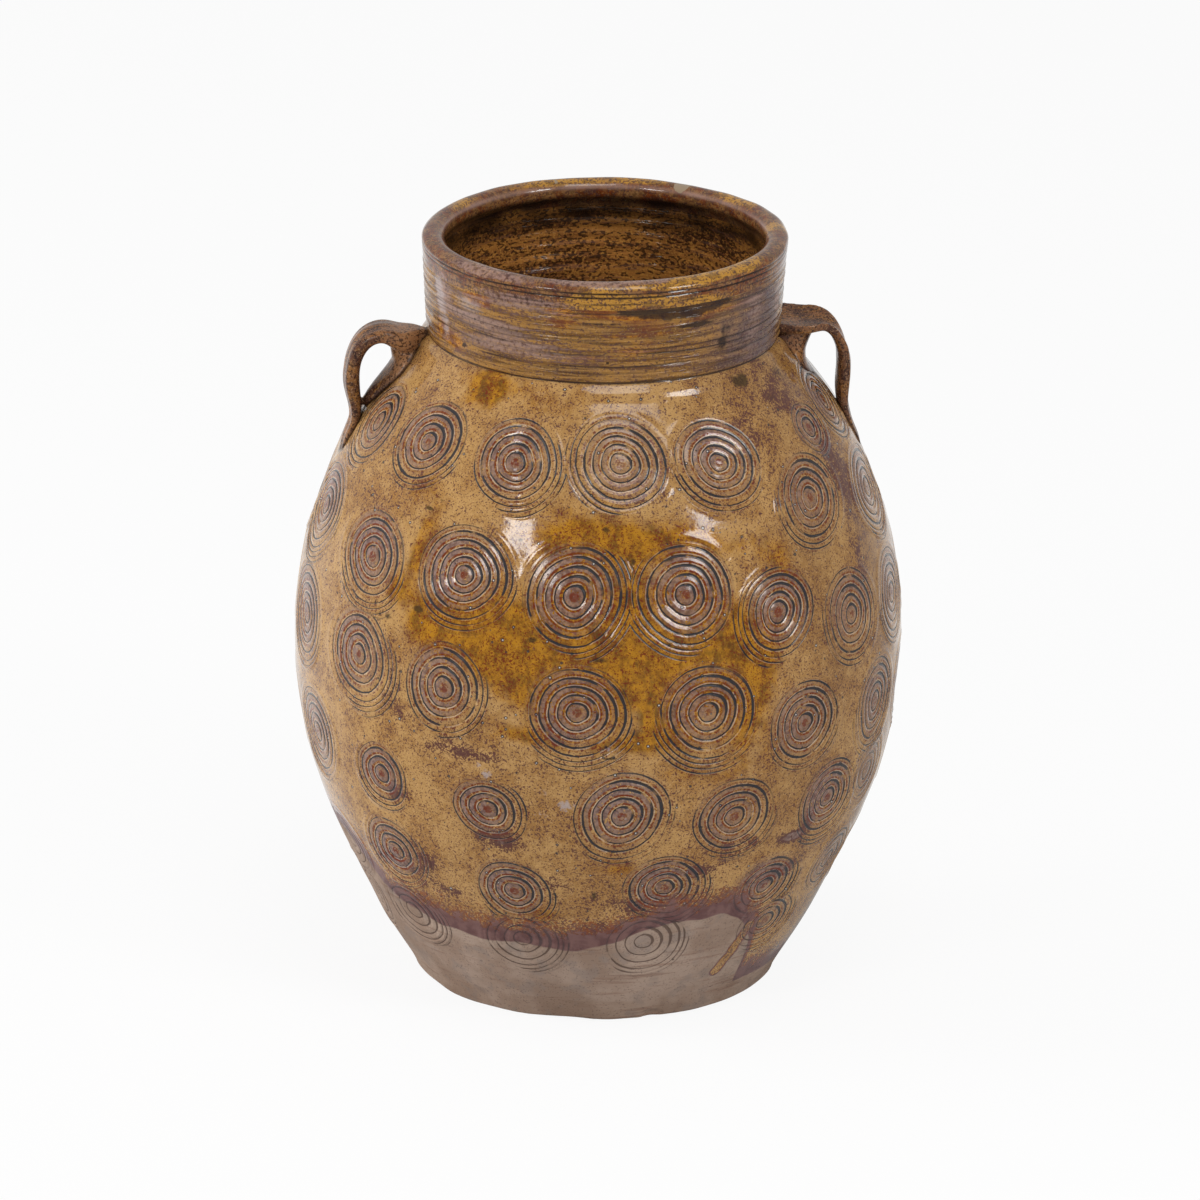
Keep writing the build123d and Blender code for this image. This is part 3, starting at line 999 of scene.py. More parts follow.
def wallGlazeRecipe(vector, c):
    rings = use(stampedRings, vector)
    broad = noise(vector, 42.0, 4.0)
    patchy = noise(vector, 120.0)
    mottle = noise(vector, 430.0, 2.0)
    streaks = noise(vector, 1.0, 3.0, (150, 150, 70))
    thinness = ragged(field("mauve"), (patchy, 1.3))
    pooled = fade(ragged(field("amber"), (broad, 1.2)), 0.15, 0.7)
    amber = layered(
        mixed(fade(mottle * 0.3 + patchy * 0.7, 0.40, 0.62), c.amber, c.amberDeep),
        (speckled(vector, 1.2, 0.2) * 0.35, c.gold),
        (fade(streaks, 0.52, 0.68) * 0.55, c.dusk))
    # ochre, darker where the glaze is thicker, then the pooled amber
    colour = layered(
        mixed(fade(broad * 0.7 + patchy * 0.3, 0.40, 0.60), c.ochre, c.ochreDeep),
        (fade(mottle, 0.50, 0.72) * 0.35, c.pale),
        (fade(mottle, 0.50, 0.30) * 0.3, c.umber),
        # umber spots: browner glaze, and painted shade on the jar's right side
        (clamped(ragged(field("umber"), (patchy, 1.0)) * 0.6), c.umber),
        (pooled, amber),
        (speckled(vector, 1.1, 0.2, (1.07, 1.03, 0.98)) * (0.35 - pooled * 0.3), c.paleSpeck))
    # iron specks, rust in the amber and plum elsewhere, crowding into mauve patches
    mauve = mixed(fade(mottle, 0.36, 0.64), c.mauve, c.mauveDeep)
    inRings = rings["Rust"] * clamped(0.2 + field("ringMauve") * 0.8)
    iron = mixed(calc("MAXIMUM", pooled, inRings), c.plum, c.rust)
    crowd = ragged(0.19 + fade(thinness, 0.0, 0.9) * 0.58, (broad, 0.45))
    specks = speckled(vector, 1.5, crowd + rings["Rust"] * 0.14)
    thin = calc("MAXIMUM", fade(thinness, 0.75, 1.1), rings["Mauve"])
    smudge = ragged(field("dusk"), (patchy, 1.1))
    hazeAndSheen = ragged(field("bloom"), (mottle, 1.6))
    pits = use(pinholes, vector, Size=6.0, Share=0.42, Radius=0.17)
    colour = layered(
        colour,
        (speckled(vector, 1.0, crowd + 0.09, (1, 1, 1.1)) * 0.8, iron),
        (specks * 0.9, iron),
        (thin * speckled(vector, 1.6, 0.8), mauve),
        (inRings * speckled(vector, 1.5, 0.68) * 0.9, c.rust),
        # painted highlight along the ring crests, partly thin glaze
        (rings["CrestHighlight"] * (0.25 + field("ringMauve") * 0.4), c.crest),
        (rings["Groove"] * 0.95, c.groove),
        # painted shade in the crevice along the lugs' edges
        (field("lugCreviceShade") * 0.8, c.dusk),
        (fade(smudge, 0.35, 0.9) * 0.8, c.dusk),
        (fade(hazeAndSheen, 0.4, 0.9) * 0.7, c.bloom),
        (pits["Hole"] * 0.8, c.groove),
        # painted glint at the middle of the pinholes
        (pits["Glint"] * 0.9, c.bead))
    # the lower edge: a thin plum band, ragged above, then bare clay
    depth = field("glazeDepth")
    edge = ragged(depth, (patchy, 30.0))
    band = 1.0 - fade(edge, 8.0, 15.0)
    plum = mixed(fade(patchy, 0.4, 0.6), c.edgeBand, c.edgeBandDeep)
    fringe = speckled(vector, 1.3, 1.0 - fade(edge, 6.0, 30.0))
    colour = layered(
        colour,
        (fringe * 0.8, mixed(fade(mottle, 0.42, 0.58), c.edgeRust, c.edgeBandDeep)),
        (band, mixed(rings["Groove"] * 0.5, plum, c.groove)))
    clay = use(bareStoneware, vector)
    glazed = fade(depth, -0.5, 0.5)
    colour = mixed(glazed, mixed(rings["Groove"] * 0.8, clay["Colour"], clayTones.groove), colour)
    skin = use(glazeSkin, vector, Peel=0.022, Ripple=0.07) - pits["Hole"] * 0.35 + specks * 0.015
    height = blended(glazed, clay["Height"], skin) + rings["Height"] + glazed * 0.25
    rough = c.roughness + thin * 0.10 + mottle * 0.06 + band * 0.26
    return colour, blended(glazed, c.bareRoughness, rough), height


neckGlazeLooks = {
    "ochre": (160, 116, 56),
    "olive": (104, 68, 26),
    "amber": (176, 116, 28),
    "amberDeep": (112, 60, 12),
    "mauve": (162, 132, 118),
    "umber": (94, 78, 82),
    "bloom": (182, 168, 166),
    "dark": (30, 18, 14),
    "rust": (104, 44, 18),
    "plum": (84, 56, 54),
    "paleSpeck": (196, 160, 104),
    "line": (36, 26, 24),
    "roughness": 0.07,
    "specular": 0.5,
}


def neckGlazeRecipe(vector, c):
    # drawn out along the combed lines
    wide = noise(vector, 1.0, 4.0, (13, 13, 70))
    narrow = noise(vector, 1.0, 3.0, (22, 22, 430))
    hair = noise(vector, 1.0, 2.0, (20, 20, 700))
    patchy = noise(vector, 130.0)
    mottle = noise(vector, 430.0, 2.0)
    pooled = fade(ragged(field("amber"), (wide, 2.2), (narrow, 0.9)), 0.3, 0.65)
    thinness = ragged(field("mauve"), (narrow, 1.7), (wide, 1.7))
    crowd = 0.27 + fade(thinness, -0.2, 0.8) * 0.3
    redder = ragged(field("rusty"), (wide, 1.6), (patchy, 1.0))
    hazeAndSheen = ragged(field("bloom"), (narrow, 1.2), (mottle, 0.8))
    smudge = ragged(field("dusk"), (patchy, 1.4))
    thin = fade(thinness, 0.25, 0.95)
    lines = fade(hair, 0.60, 0.69)
    incised = field("incised")
    hole = use(pinholes, vector, Size=7.0, Share=0.4, Radius=0.12)
    colour = layered(
        mixed(fade(narrow, 0.40, 0.60), c.ochre, c.olive),
        (pooled, mixed(fade(patchy, 0.42, 0.60), c.amber, c.amberDeep)),
        # painted shade on the neck's right, partly browner glaze
        (clamped(ragged(field("umber"), (patchy, 1.4)) * 0.8), c.umber),
        (speckled(vector, 0.9, 0.26) * 0.25, c.paleSpeck),
        (speckled(vector, 1.0, crowd, (0.5, 0.5, 1.1)) * 0.75, mixed(pooled, c.plum, c.rust)),
        (fade(redder, 0.3, 1.1) * 0.75, c.rust),
        (thin * 0.7, mixed(fade(mottle, 0.45, 0.75), c.mauve, c.plum)),
        # pale haze, on the neck's left a painted sheen
        (fade(hazeAndSheen, 0.2, 1.1) * 0.6, c.bloom),
        (lines * 0.45, c.line),
        (fade(smudge, 0.35, 0.8) * 0.85, c.dark),
        (fade(incised, 0.12, 0.6) * 0.75, c.line),
        # painted shade in the crevice along the lugs' edges
        (field("lugCreviceShade") * 0.8, c.dark),
        (hole * 0.8, c.dark))
    skin = use(glazeSkin, vector, Peel=0.03, Ripple=0.06)
    height = skin + narrow * 1.0 - lines * 0.12 - incised * 0.5
    return colour, c.roughness + thin * 0.12 + mottle * 0.1, height


rimGlazeLooks = {
    "brown": (134, 94, 56),
    "amber": (178, 128, 48),
    "rust": (108, 52, 22),
    "mauve": (156, 124, 112),
    "plum": (76, 48, 44),
    "paleSpeck": (190, 150, 96),
    "line": (28, 18, 14),
    "bare": (150, 130, 106),
    "roughness": 0.06,
    "specular": 0.5,
}


def rimGlazeRecipe(vector, c):
    runs = noise(vector, 1.0, 4.0, (26, 26, 160))
    patchy = noise(vector, 150.0)
    mottle = noise(vector, 430.0, 2.0)
    pooled = fade(ragged(field("amber"), (runs, 1.8), (patchy, 0.9)), 0.3, 0.75)
    thinness = ragged(field("mauve"), (runs, 1.6), (patchy, 0.8))
    crowd = 0.36 + fade(thinness, 0.0, 0.8) * 0.3
    thin = fade(thinness, 0.3, 0.65)
    incised = field("incised")
    colour = layered(
        mixed(fade(patchy, 0.4, 0.62), c.brown, c.rust),
        (pooled, c.amber),
        (speckled(vector, 2.4, 0.4, (0.5, 0.5, 1.0)) * 0.4, c.line),
        (speckled(vector, 1.4, crowd) * 0.8, c.plum),
        (thin * 0.75, mixed(fade(mottle, 0.4, 0.7), c.mauve, c.plum)),
        (speckled(vector, 0.9, 0.24) * 0.25, c.paleSpeck))
    # the lip's inner edge is rubbed thin, and below it painted shade darkens the hollow under the lip
    colour = layered(
        colour,
        (field("rubbed") * 0.8, c.mauve),
        (field("shade") * 0.97, c.line),
        (fade(ragged(field("bare"), (patchy, 1.2)), 0.4, 0.55), c.bare),
        (fade(incised, 0.10, 0.55) * 0.85, c.line))
    height = use(glazeSkin, vector, Peel=0.03, Ripple=0.08) + runs * 0.3 - incised * 0.5
    return colour, c.roughness + thin * 0.10 + mottle * 0.05, height


insideGlazeLooks = {
    "amber": (174, 116, 56),
    "brown": (118, 73, 40),
    "gold": (194, 138, 66),
    "dark": (36, 21, 13),
    "undercut": (20, 11, 7),
    "plum": (104, 70, 60),
    "roughness": 0.14,
    "specular": 0.4,
}


def insideGlazeRecipe(vector, c):
    wide = noise(vector, 1.0, 4.0, (24, 24, 120))
    narrow = noise(vector, 1.0, 3.0, (50, 50, 420))
    patchy = noise(vector, 140.0)
    crowd = 0.3 + ragged(fade(wide, 0.4, 0.7), (patchy, 1.2)) * 0.25
    dark = speckled(vector, 1.7, crowd + 0.05, (0.7, 0.7, 1.3))
    colour = layered(
        mixed(fade(wide, 0.38, 0.62), c.amber, c.brown),
        (speckled(vector, 1.2, 0.36) * 0.6, c.gold),
        (dark * 0.8, c.dark),
        (fade(narrow, 0.56, 0.68) * 0.5, c.plum),
        # painted shade in the hollow under the lip
        (field("shade") * 0.97, c.undercut))
    height = use(glazeSkin, vector, Peel=0.03, Ripple=0.1) + narrow * 0.6
    return colour, c.roughness + dark * 0.1, height


def bareClayRecipe(vector, c):
    clay = use(bareStoneware, vector)
    patchy = noise(vector, 60.0, 3.0, roughness=0.5)
    colour = mixed(fade(patchy, 0.5, 0.7) * 0.3, clay["Colour"], c.stain)
    return colour, 0.74 + patchy * 0.12, clay["Height"]


lugGlazeLooks = {
    "brown": (138, 94, 62),
    "deep": (84, 54, 42),
    "amber": (156, 106, 48),
    "dark": (44, 27, 24),
    "paleSpeck": (176, 138, 100),
    "root": (176, 128, 88),
    "tail": (146, 110, 80),
    "roughness": 0.16,
    "specular": 0.3,
}


def lugGlazeRecipe(vector, c):
    broad = noise(vector, 60.0, 4.0)
    mottle = noise(vector, 330.0, 3.0)
    drawn = noise(vector, 1.0, 3.0, (70, 330, 90))
    # paler where the left strap spreads into the shoulder, and at the tails
    place = put("ShaderNodeSeparateXYZ", {0: vector})
    root = fade(place["X"], -0.126, -0.110) * fade(place["X"], 0.02, -0.02)
    colour = layered(
        mixed(fade(broad, 0.36, 0.62), c.brown, c.deep),
        (fade(drawn, 0.48, 0.66) * 0.6, c.amber),
        (root * 0.7, c.root),
        (fade(place["Z"], 0.324, 0.306) * 0.7, c.tail),
        (speckled(vector, 1.4, 0.4) * 0.8, c.dark),
        (speckled(vector, 0.9, 0.27, (1.05, 0.97, 1.02)) * 0.5, c.paleSpeck),
        # painted shade where the lug meets the wall
        (field("lugContactShade") * 0.7, c.dark))
    height = use(glazeSkin, vector, Peel=0.03, Ripple=0.1) + drawn * 0.15
    return colour, c.roughness + mottle * 0.2, height


wallGlaze = makeMaterial("amberGlaze", wallGlazeRecipe, tones(wallGlazeLooks))
neckGlaze = makeMaterial("combedGlaze", neckGlazeRecipe, tones(neckGlazeLooks))
rimGlaze = makeMaterial("rimGlaze", rimGlazeRecipe, tones(rimGlazeLooks))
insideGlaze = makeMaterial("insideGlaze", insideGlazeRecipe, tones(insideGlazeLooks))
bareClay = makeMaterial("bareClay", bareClayRecipe, clayTones)
lugGlaze = makeMaterial("brownGlaze", lugGlazeRecipe, tones(lugGlazeLooks))
print("materials made")


# Strap lugs

lugSizes = {
    "tailHeight": 316.0,
    "rise": 62.0,
    "width": 44.0,
    "thickness": 8.5,
    "cornerPower": 0.74,   # how square a strap's section is
    "corners": 64,         # of a section
    "ribs": 0.35,
    "lumps": 0.22,
    "letIn": 3.0,          # mm that a lug is let into the wall
}
lugForm = SimpleNamespace(**lugSizes)
leftLugLooks = {
    "node": "lug_left",
    "side": -1,
    "reach": 143.5,
    # along the strap from its root: out from the neck, up from the tail, width and thickness
    "shares": [
        (-.09, .85, .20, 1.5), (.15, .855, .46, 1.75), (.34, .87, .62, 1.5), (.51, .915, .62, 1.12),
        (.71, .87, .56, 1.02), (.86, .72, .52, 1.02), (.91, .53, .50, 1.02), (.89, .37, .47, .98),
        (.86, .24, .44, .86), (.87, .10, .40, .64), (.943, -.03, .36, .52), (1.0, -.15, .30, .42),
        (1.033, -.22, .22, .30),
    ],
    "cup": 1.0,            # hollow along the top of the root, and how far along the strap it goes
    "cupEnd": (.12, .40),
    # pixels along the front edge of the fan that the root spreads into, and how far the fan
    # stands out from the wall at each height
    "fanEdge": [
        (424.6, 330.5), (417.8, 347), (410, 363), (399.4, 376), (387, 387), (378, 395),
    ],
    "fanRise": [
        (329, 0), (334, 4.6), (338, 5.2), (346, 5.2), (352, 5.6), (357, 7.0), (361, 11), (366, 16),
        (372, 20),
    ],
}
rightLugLooks = {
    "node": "lug_right",
    "side": 1,
    "reach": 138.0,
    "shares": [
        (-.09, .975, .86, .72), (.15, .97, .94, .72), (.34, .96, .94, .66), (.51, .965, .84, .62),
        (.71, .93, .62, .64), (.86, .80, .54, .82), (.93, .58, .50, .90), (.925, .40, .47, .92),
        (.915, .26, .44, .84), (.965, .10, .40, .60), (1.05, -.03, .34, .48), (1.135, -.15, .28, .38),
        (1.175, -.22, .22, .30),
    ],
    "cup": 4.6,
    "cupEnd": (.24, .56),
    "fanEdge": [
        (791.5, 334.7), (798, 342.7), (806, 350.7), (812.8, 360), (821, 371),
    ],
    "fanRise": [
        (345, 0), (349, .6), (353, 1.6), (357, 4.0), (361, 7.5), (365, 12), (369, 16.5), (374, 22),
    ],
}


def closedTube(rings):
    # rings of points in mm, joined one to the next and capped
    count, size = len(rings), len(rings[0])
    faces = []
    for start in range(0, (count - 1) * size, size):
        for j in range(size):
            k = (j + 1) % size
            faces.append((start + j, start + k, start + size + k, start + size + j))
    faces += [tuple(range(size))[::-1], tuple(range((count - 1) * size, count * size))]
    return np.concatenate(rings), faces


tubeTurn = np.arange(lugForm.corners) / lugForm.corners * 2 * math.pi
tubeAcross, tubeUp = np.cos(tubeTurn), np.sin(tubeTurn)


def strapRings(s):
    neck = wallRadius(neckSeam)
    whole = np.array([s["reach"] - neck, lugForm.rise, lugForm.width, lugForm.thickness])
    places = (neck, lugForm.tailHeight, 0, 0) + whole * s["shares"]
    path = splineThrough(places, (1, 0, 0, 0), (.5, -1, -.5, -.1), 0.8)
    slope = unit(np.gradient(path[:, :2], axis=0))
    across, up = (np.sign(v) * np.abs(v) ** lugForm.cornerPower for v in (tubeAcross, tubeUp))
    rings = []
    for index, ((r, z, width, thickness), (sr, sz)) in enumerate(zip(path, slope)):
        root = 1 - smooth(*s["cupEnd"], index / len(path))
        hollow = s["cup"] * root * (1 - 1.7 * across**2) * smooth(-.6, .1, up)
        ribs = lugForm.ribs * np.cos(across * 7) * (up > 0) * (1 - root)
        high = up * thickness / 2 + ribs - hollow
        rings.append(np.stack([s["side"] * (r - sz * high), across * width / 2, z + sr * high], 1))
    return rings


def fanRings(s):
    # the clay smeared out under the root, section by section from its lowest point up
    places = sorted([jarPoint(x, y) for x, y in s["fanEdge"]], key=lambda place: place[1])
    middle = math.pi if s["side"] < 0 else 0.0
    heights = [h for _, h in places]
    halves = [abs(wallRadius(h) * math.sin(a - middle)) for a, h in places]
    riseHeights, rises = zip(*s["fanRise"])
    low, high = riseHeights[0], min(riseHeights[-1], neckSeam)
    rings = []
    for height in np.linspace(low, high, 48):
        half = np.interp(height, heights, halves) * (0.25 + 0.75 * smooth(low, low + 9, height))
        rise = np.interp(height, riseHeights, rises) * np.abs(tubeUp) ** 1.15
        r = wallRadius(height) + np.where(tubeUp > 0, rise, 3.5 * tubeUp)
        angle = middle + tubeAcross * half / wallRadius(height)
        rings.append(np.stack([r * np.cos(angle), r * np.sin(angle), np.full_like(r, height)], 1))
    return rings


def aboveWall(p):
    # how far a point is outside the wall, in mm, and the wall's outward direction there
    r = np.hypot(p[:, 0], p[:, 1])
    lean = (wallRadius(p[:, 2] + 1) - wallRadius(p[:, 2] - 1)) / 2
    size = np.sqrt(1 + lean**2)
    out = np.stack([p[:, 0] / r / size, p[:, 1] / r / size, -lean / size], 1)
    return (r - wallRadius(p[:, 2])) / size, out


def readVertices(mesh, what):
    values = np.empty(len(mesh.vertices) * 3, np.float32)
    mesh.vertices.foreach_get(what, values)
    return values.reshape(-1, 3)


def joined(name, mesh):
    # one skin over the strap and its fan, with the step between them eased
    rough = addObject(name + "Rough", mesh)
    join = rough.modifiers.new("join", "REMESH")
    join.mode = "VOXEL"
    join.voxel_size = 0.55 * mm
    join.adaptivity = 0
    ease = rough.modifiers.new("ease", "SMOOTH")
    ease.factor, ease.iterations = 0.6, 22
    shaped = bpy.data.meshes.new_from_object(rough.evaluated_get(bpy.context.evaluated_depsgraph_get()))
    bpy.data.objects.remove(rough)
    shaped.name = name
    return shaped


def makeLug(name, s):
    points, faces = closedTube(strapRings(s))
    padPoints, padFaces = closedTube(fanRings(s))
    faces += [tuple(i + len(points) for i in face) for face in padFaces]
    mesh = bpy.data.meshes.new(name)
    mesh.from_pydata((np.concatenate([points, padPoints]) * mm).tolist(), [], faces)
    shaped = joined(name, mesh)
    p = readVertices(shaped, "co") / mm
    r = np.random.default_rng(5 + s["side"])
    lumps = sum(np.cos(p @ r.normal(0, .16, 3) + r.uniform(0, 6)) for _ in range(9)) / 3
    p = p + readVertices(shaped, "normal") * (lugForm.lumps * lumps)[:, None]
    above, out = aboveWall(p)
    p += out * np.maximum(0, -lugForm.letIn - above)[:, None]
    shaped.vertices.foreach_set("co", (p * mm).astype(np.float32).ravel())
    # painted shade: the lug darkens where it meets the wall
    lugContactShade = shaped.attributes.new("lugContactShade", "FLOAT", "POINT")
    lugContactShade.data.foreach_set("value", (1 - smooth(0.2, 1.6, above)).astype(np.float32))
    shaped.materials.clear()
    shaped.materials.append(lugGlaze)
    shaped.shade_smooth()
    piece = addObject(name, shaped)
    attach(piece, "root")
    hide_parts(s["node"])
    print("made", name, len(shaped.polygons), "faces")
    return p[np.abs(above) < 0.6]


# painted shade: the wall is darkened along the lugs' edges, in the crevice where they meet it
seam = fields["lugCreviceShade"] = np.zeros(gridShape, np.float32)
for name, looks in (("leftLug", leftLugLooks), ("rightLug", rightLugLooks)):
    contact = makeLug(name, looks)
    if len(contact) > 1500:
        contact = contact[::2]
    window = windowAround(math.pi if looks["side"] < 0 else 0.0, float(contact[:, 2].mean()), 42)
    block = base[window]
    gap = np.full(block.shape[:2], 99.0)
    for start in range(0, len(contact), 200):
        away = block[:, :, None, :] - contact[start:start + 200]
        gap = np.minimum(gap, np.linalg.norm(away, axis=-1).min(axis=-1))
    seam[window] = np.maximum(seam[window], np.exp(-(gap / 1.1) ** 2))


# The jar's sections

def lineFields():
    # how deep the neck's lines are, the lip's rubbed inner edge, and painted shade in the hollow under the
    # lip
    incised = np.clip(-fine / 0.6, 0, 1) * isOuter[:, None]
    incised[rowHeight < neckSeam - 3] = 0
    lipRow = rimFirst + int(np.argmin(rowRadius[rimFirst:rimLast + 1]))
    fromLip = rowLength - rowLength[lipRow]
    rubbed = np.exp(-((fromLip + 3.0) / 1.5) ** 2) * (rowHeight > rimSeam)
    shade = smooth(0.5, 5.0, fromLip) * (1 - smooth(12.0, 32.0, fromLip))
    wear = 0.5 + 0.5 * np.clip(waves(61, 16, 24, 12), -1, 1)
    return {"incised": incised, "rubbed": rubbed[:, None] * (0.4 + 0.6 * wear),
            "shade": shade[:, None] * (0.7 + 0.3 * wear)}


fields.update(lineFields())


def meshFrom(name, points, normals, faces, materials, values):
    # faces come in blocks: the corners of each face, their UVs and the faces' material numbers
    corners, uvs, slots = zip(*faces)
    sizes = np.concatenate([np.full(len(block), block.shape[1]) for block in corners])
    mesh = bpy.data.meshes.new(name)
    mesh.vertices.add(len(points))
    mesh.vertices.foreach_set("co", (points * mm).astype(np.float32).ravel())
    loops = np.concatenate([block.ravel() for block in corners])
    mesh.loops.add(len(loops))
    mesh.loops.foreach_set("vertex_index", loops.astype(np.int32))
    mesh.polygons.add(len(sizes))
    mesh.polygons.foreach_set("loop_start", (np.cumsum(sizes) - sizes).astype(np.int32))
    mesh.polygons.foreach_set("material_index", np.concatenate(slots).astype(np.int32))
    mesh.update(calc_edges=True)
    layer = mesh.uv_layers.new(name="OFBake")
    layer.uv.foreach_set("vector", np.concatenate([uv.ravel() for uv in uvs]).astype(np.float32))
    for key, value in values.items():
        mesh.attributes.new(key, "FLOAT", "POINT").data.foreach_set("value", value.astype(np.float32))
    for material in materials:
        mesh.materials.append(material)
    mesh.shade_smooth()
    mesh.normals_split_custom_set_from_vertices(normals.astype(np.float32))
    return addObject(name, mesh)


uvSettings = {
    "sideMargin": 0.0075,  # left clear at each side of a strip, and over and under it
    "edgeMargin": 0.006,
    "weights": (1.0, 0.45),    # how much room the outside and the inside get for their length
    "spare": 1.06,         # how much more than their lengths a strip has, for what lies between them
    "between": 0.02,       # of a strip, left clear from one stretch to the next
    "seam": (0.985, 0.992),    # where the flat faces at the seams are, up the strip
}


def bandPiece(name, node, materials):
    ranges = [(a, b) for n, a, b in rowRanges if n == node]
    if node == "floor_disc":
        ranges = [(ranges[0][0], ranges[1][1]), ranges[2]]
    uv = SimpleNamespace(**uvSettings)
    lengths = [(rowLength[b] - rowLength[a]) * weight for (a, b), weight in zip(ranges, uv.weights)]
    total = sum(lengths) * uv.spare + 2
    circumference = 2 * math.pi * rowRadius[ranges[0][0]:ranges[0][1] + 1].max()
    chunks = max(1, int(round(math.sqrt(circumference / total))))
    column = np.arange(columns)
    after = (column + 1) % columns
    chunk = column * chunks // columns
    grid, normals, quads, triangles = [], [], [], []

    def addVertices(rowNumbers, columnNumbers, way=None):
        # the vertices at these rows and columns of the grid, facing straight up or down if way is set
        window = np.ix_(rowNumbers, columnNumbers)
        first = sum(len(block) for block in grid)
        grid.append(np.stack(np.broadcast_arrays(*window), -1).reshape(-1, 2))
        facing = shading[window].reshape(-1, 3)
        normals.append(facing if way is None else np.broadcast_to((0.0, 0.0, way), facing.shape))
        return first + np.arange(len(grid[-1])).reshape(len(rowNumbers), -1)

    def addFaces(kind, materialNumber, *corners):
        # a face for each column, by its corners' vertices, place along the columns and v. Each part
        # of the way round has its own strip of the UV map, one above the other.
        wide, tall = 1 - 2 * uv.sideMargin, 1 - 2 * uv.edgeMargin
        uvs = [np.stack([(across * chunks / columns - chunk) * wide + uv.sideMargin,
                         (chunk + uv.edgeMargin + tall * v) / chunks], -1) for _, across, v in corners]
        kind.append((np.stack([ids for ids, _, _ in corners], -1), np.stack(uvs, 1),
                     np.full(columns, materialNumber)))

    def addQuads(materialNumber, below, above, v0, v1):
        addFaces(quads, materialNumber, (below, column, v0), (below[after], column + 1, v0),
                 (above[after], column + 1, v1), (above, column, v1))

    low = 0.0
    ends = []
    for index, ((a, b), length, weight) in enumerate(zip(ranges, lengths, uv.weights)):
        first, last = a + int(rowRadius[a] < 0.01), b - int(rowRadius[b] < 0.01)
        here = np.arange(first, last + 1)
        ids = addVertices(here, column)
        v = (low + (rowLength[here] - rowLength[a]) * weight + 1) / total
        materialNumber = min(index, len(materials) - 1)
        for i in range(len(here) - 1):
            addQuads(materialNumber, ids[i], ids[i + 1], v[i], v[i + 1])
        if first > a:
            middle = np.full(columns, addVertices([a], [0])[0, 0])
            addFaces(triangles, materialNumber, (middle, column + .5, low / total),
                     (ids[0][after], column + 1, v[0]), (ids[0], column, v[0]))
        if last < b:
            middle = np.full(columns, addVertices([b], [0])[0, 0])
            addFaces(triangles, materialNumber, (ids[-1], column, v[-1]), (ids[-1][after], column + 1, v[-1]),
                     (middle, column + .5, (low + length + 1) / total))
        ends.append((first if first == a else None, last if last == b else None))
        low += length + uv.between * total
    # flat faces where this section meets the next ones
    (outerStart, outerEnd), (innerStart, innerEnd) = ends[0], ends[-1]
    both = [(outerEnd, innerStart, 1), (innerEnd, outerStart, -1)]
    for first, second, way in both if len(ends) == 2 else [(outerEnd, outerStart, -1)]:
        if first is not None and second is not None:
            ids = addVertices([first, second], column, way)
            addQuads(len(materials) - 1, ids[0], ids[1], *uv.seam)
    rowOf, columnOf = np.concatenate(grid).T
    piece = meshFrom(name, points[rowOf, columnOf], np.concatenate(normals), quads + triangles, materials,
                     {key: value[rowOf, columnOf] for key, value in fields.items()})
    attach(piece, "root")
    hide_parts(node)
    print("made", name, len(piece.data.polygons), "faces")


bandPiece("footSlab", "floor_disc", [bareClay, insideGlaze])
bandPiece("lowerWall", "lower_wall", [wallGlaze, insideGlaze])
bandPiece("bellyWall", "belly_wall", [wallGlaze, insideGlaze])
bandPiece("shoulderWall", "shoulder_wall", [wallGlaze, insideGlaze])
bandPiece("neckCollar", "neck_collar", [neckGlaze, insideGlaze])
bandPiece("rolledRim", "rim_roll", [rimGlaze])


# Floor, light and surroundings

studio = {
    "floorTone": (238, 238, 238),
    "floorReach": 14.0,
    "surround": 0.46,
    # what the glaze mirrors in front of the jar, of the floor behind it and of the wall behind that,
    # where white is 1
    "frontRoom": 0.32,
    "backRoom": 0.95,
    "backWall": 0.55,
    "backward": (-0.25, 0.97, 0.0),
    "lampDistance": 2.6,
    "panelAim": (0, 0, 0.25),
}
# soft boxes, placed so that each shows in the glaze at a pixel of the photograph:
# name, pixel, brightness, width and height in metres
softBoxes = [
    ("keySoftBox", (518, 527), 13.0, 0.55, 0.46),
    ("fillSoftBox", (709, 508), 10.8, 0.82, 0.72),
]
# broad panels: name, angle round the jar from the front, distance, height, brightness, width, height,
# and whether the glaze mirrors them
panels = [
    ("leftPanel", -100, 3.2, 1.0, 7.6, 1.5, 1.8, False),
    ("topPanel", 13, 1.1, 2.7, 3.4, 1.1, 1.3, True),
]


def addLamp(name, place, aim, brightness, width, height, mirrored=True):
    data = bpy.data.lights.new(name, "AREA")
    data.shape = "RECTANGLE"
    data.size, data.size_y = width, height
    data.energy = brightness * math.pi * width * height
    lamp = addObject(name, data)
    lamp.location = place
    lamp.rotation_euler = (aim - place).to_track_quat("-Z", "Y").to_euler()
    lamp.visible_glossy = mirrored


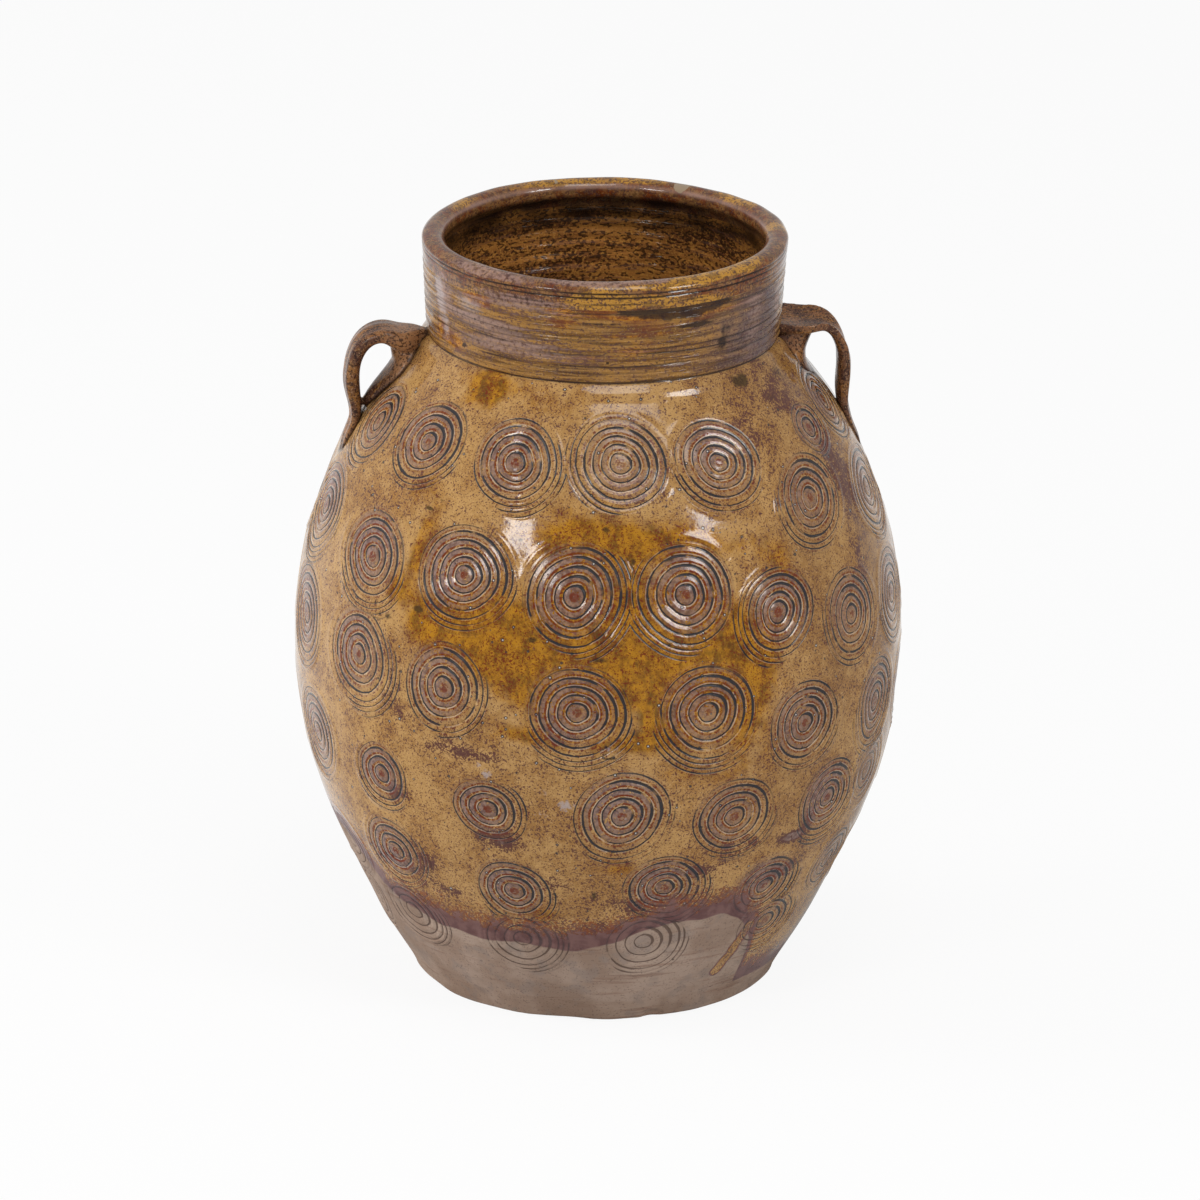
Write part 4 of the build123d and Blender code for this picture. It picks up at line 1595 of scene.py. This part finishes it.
for name, pixel, *shape in softBoxes:
    angle, up = jarPoint(*pixel)
    spot, n = Vector(wallPoint(angle, up)) * mm, wallNormal(angle, up)
    toCamera = (cameraPlace - spot).normalized()
    way = 2 * n.dot(toCamera) * n - toCamera
    addLamp(name, spot + way * studio["lampDistance"], spot, *shape)
for name, turn, away, up, *shape in panels:
    turn = math.radians(turn)
    place = Vector((away * math.sin(turn), -away * math.cos(turn), up))
    addLamp(name, place, Vector(studio["panelAim"]), *shape)


def roomGlow(vector, far):
    # dim towards the front of the room, brighter towards its back
    facing = put("ShaderNodeVectorMath", {0: vector, 1: studio["backward"]}, operation="DOT_PRODUCT")
    return fade(facing["Value"], 0.05, 0.75, studio["frontRoom"], far)


def makeFloor(reach):
    mesh = bpy.data.meshes.new("floor")
    corners = [(-reach, -reach, 0), (reach, -reach, 0), (reach, reach, 0), (-reach, reach, 0)]
    mesh.from_pydata(corners, [], [(0, 1, 2, 3)])
    material = bpy.data.materials.new("paleFloor")
    material.use_nodes = True
    startTree(material.node_tree)
    # the camera and the glaze see mostly an even glow, and everything else sees pale paper
    path = put("ShaderNodeLightPath")
    seen = calc("MAXIMUM", path["Is Camera Ray"], path["Is Glossy Ray"])
    level = put("ShaderNodeVectorMath", {0: put("ShaderNodeTexCoord")["Object"]}, operation="NORMALIZE")
    brightness = blended(path["Is Camera Ray"], roomGlow(level, studio["backRoom"]), 1.0)
    matt = put("ShaderNodeBsdfDiffuse", {"Color": tone(*studio["floorTone"])})
    white = put("ShaderNodeEmission", {"Color": (1, 1, 1, 1), "Strength": brightness})
    put("ShaderNodeOutputMaterial", {0: put("ShaderNodeMixShader", {0: seen * 0.9, 1: matt, 2: white})})
    mesh.materials.append(material)
    return addObject("floor", mesh)


def makeWorld():
    world = scene.world = bpy.data.worlds.new("paleRoom")
    world.use_nodes = True
    startTree(world.node_tree)
    # white behind the jar, dimmer in front of it, and white wherever the camera looks
    path = put("ShaderNodeLightPath")
    mirrored = roomGlow(put("ShaderNodeTexCoord")["Generated"], studio["backWall"])
    glossy = calc("MAXIMUM", path["Is Glossy Ray"], path["Is Transmission Ray"])
    strength = blended(path["Is Camera Ray"], blended(glossy, studio["surround"], mirrored), 1.0)
    light = put("ShaderNodeBackground", {"Color": (1, 1, 1, 1), "Strength": strength})
    put("ShaderNodeOutputWorld", {0: light})


floor = makeFloor(studio["floorReach"])
makeWorld()
print("studio ready")
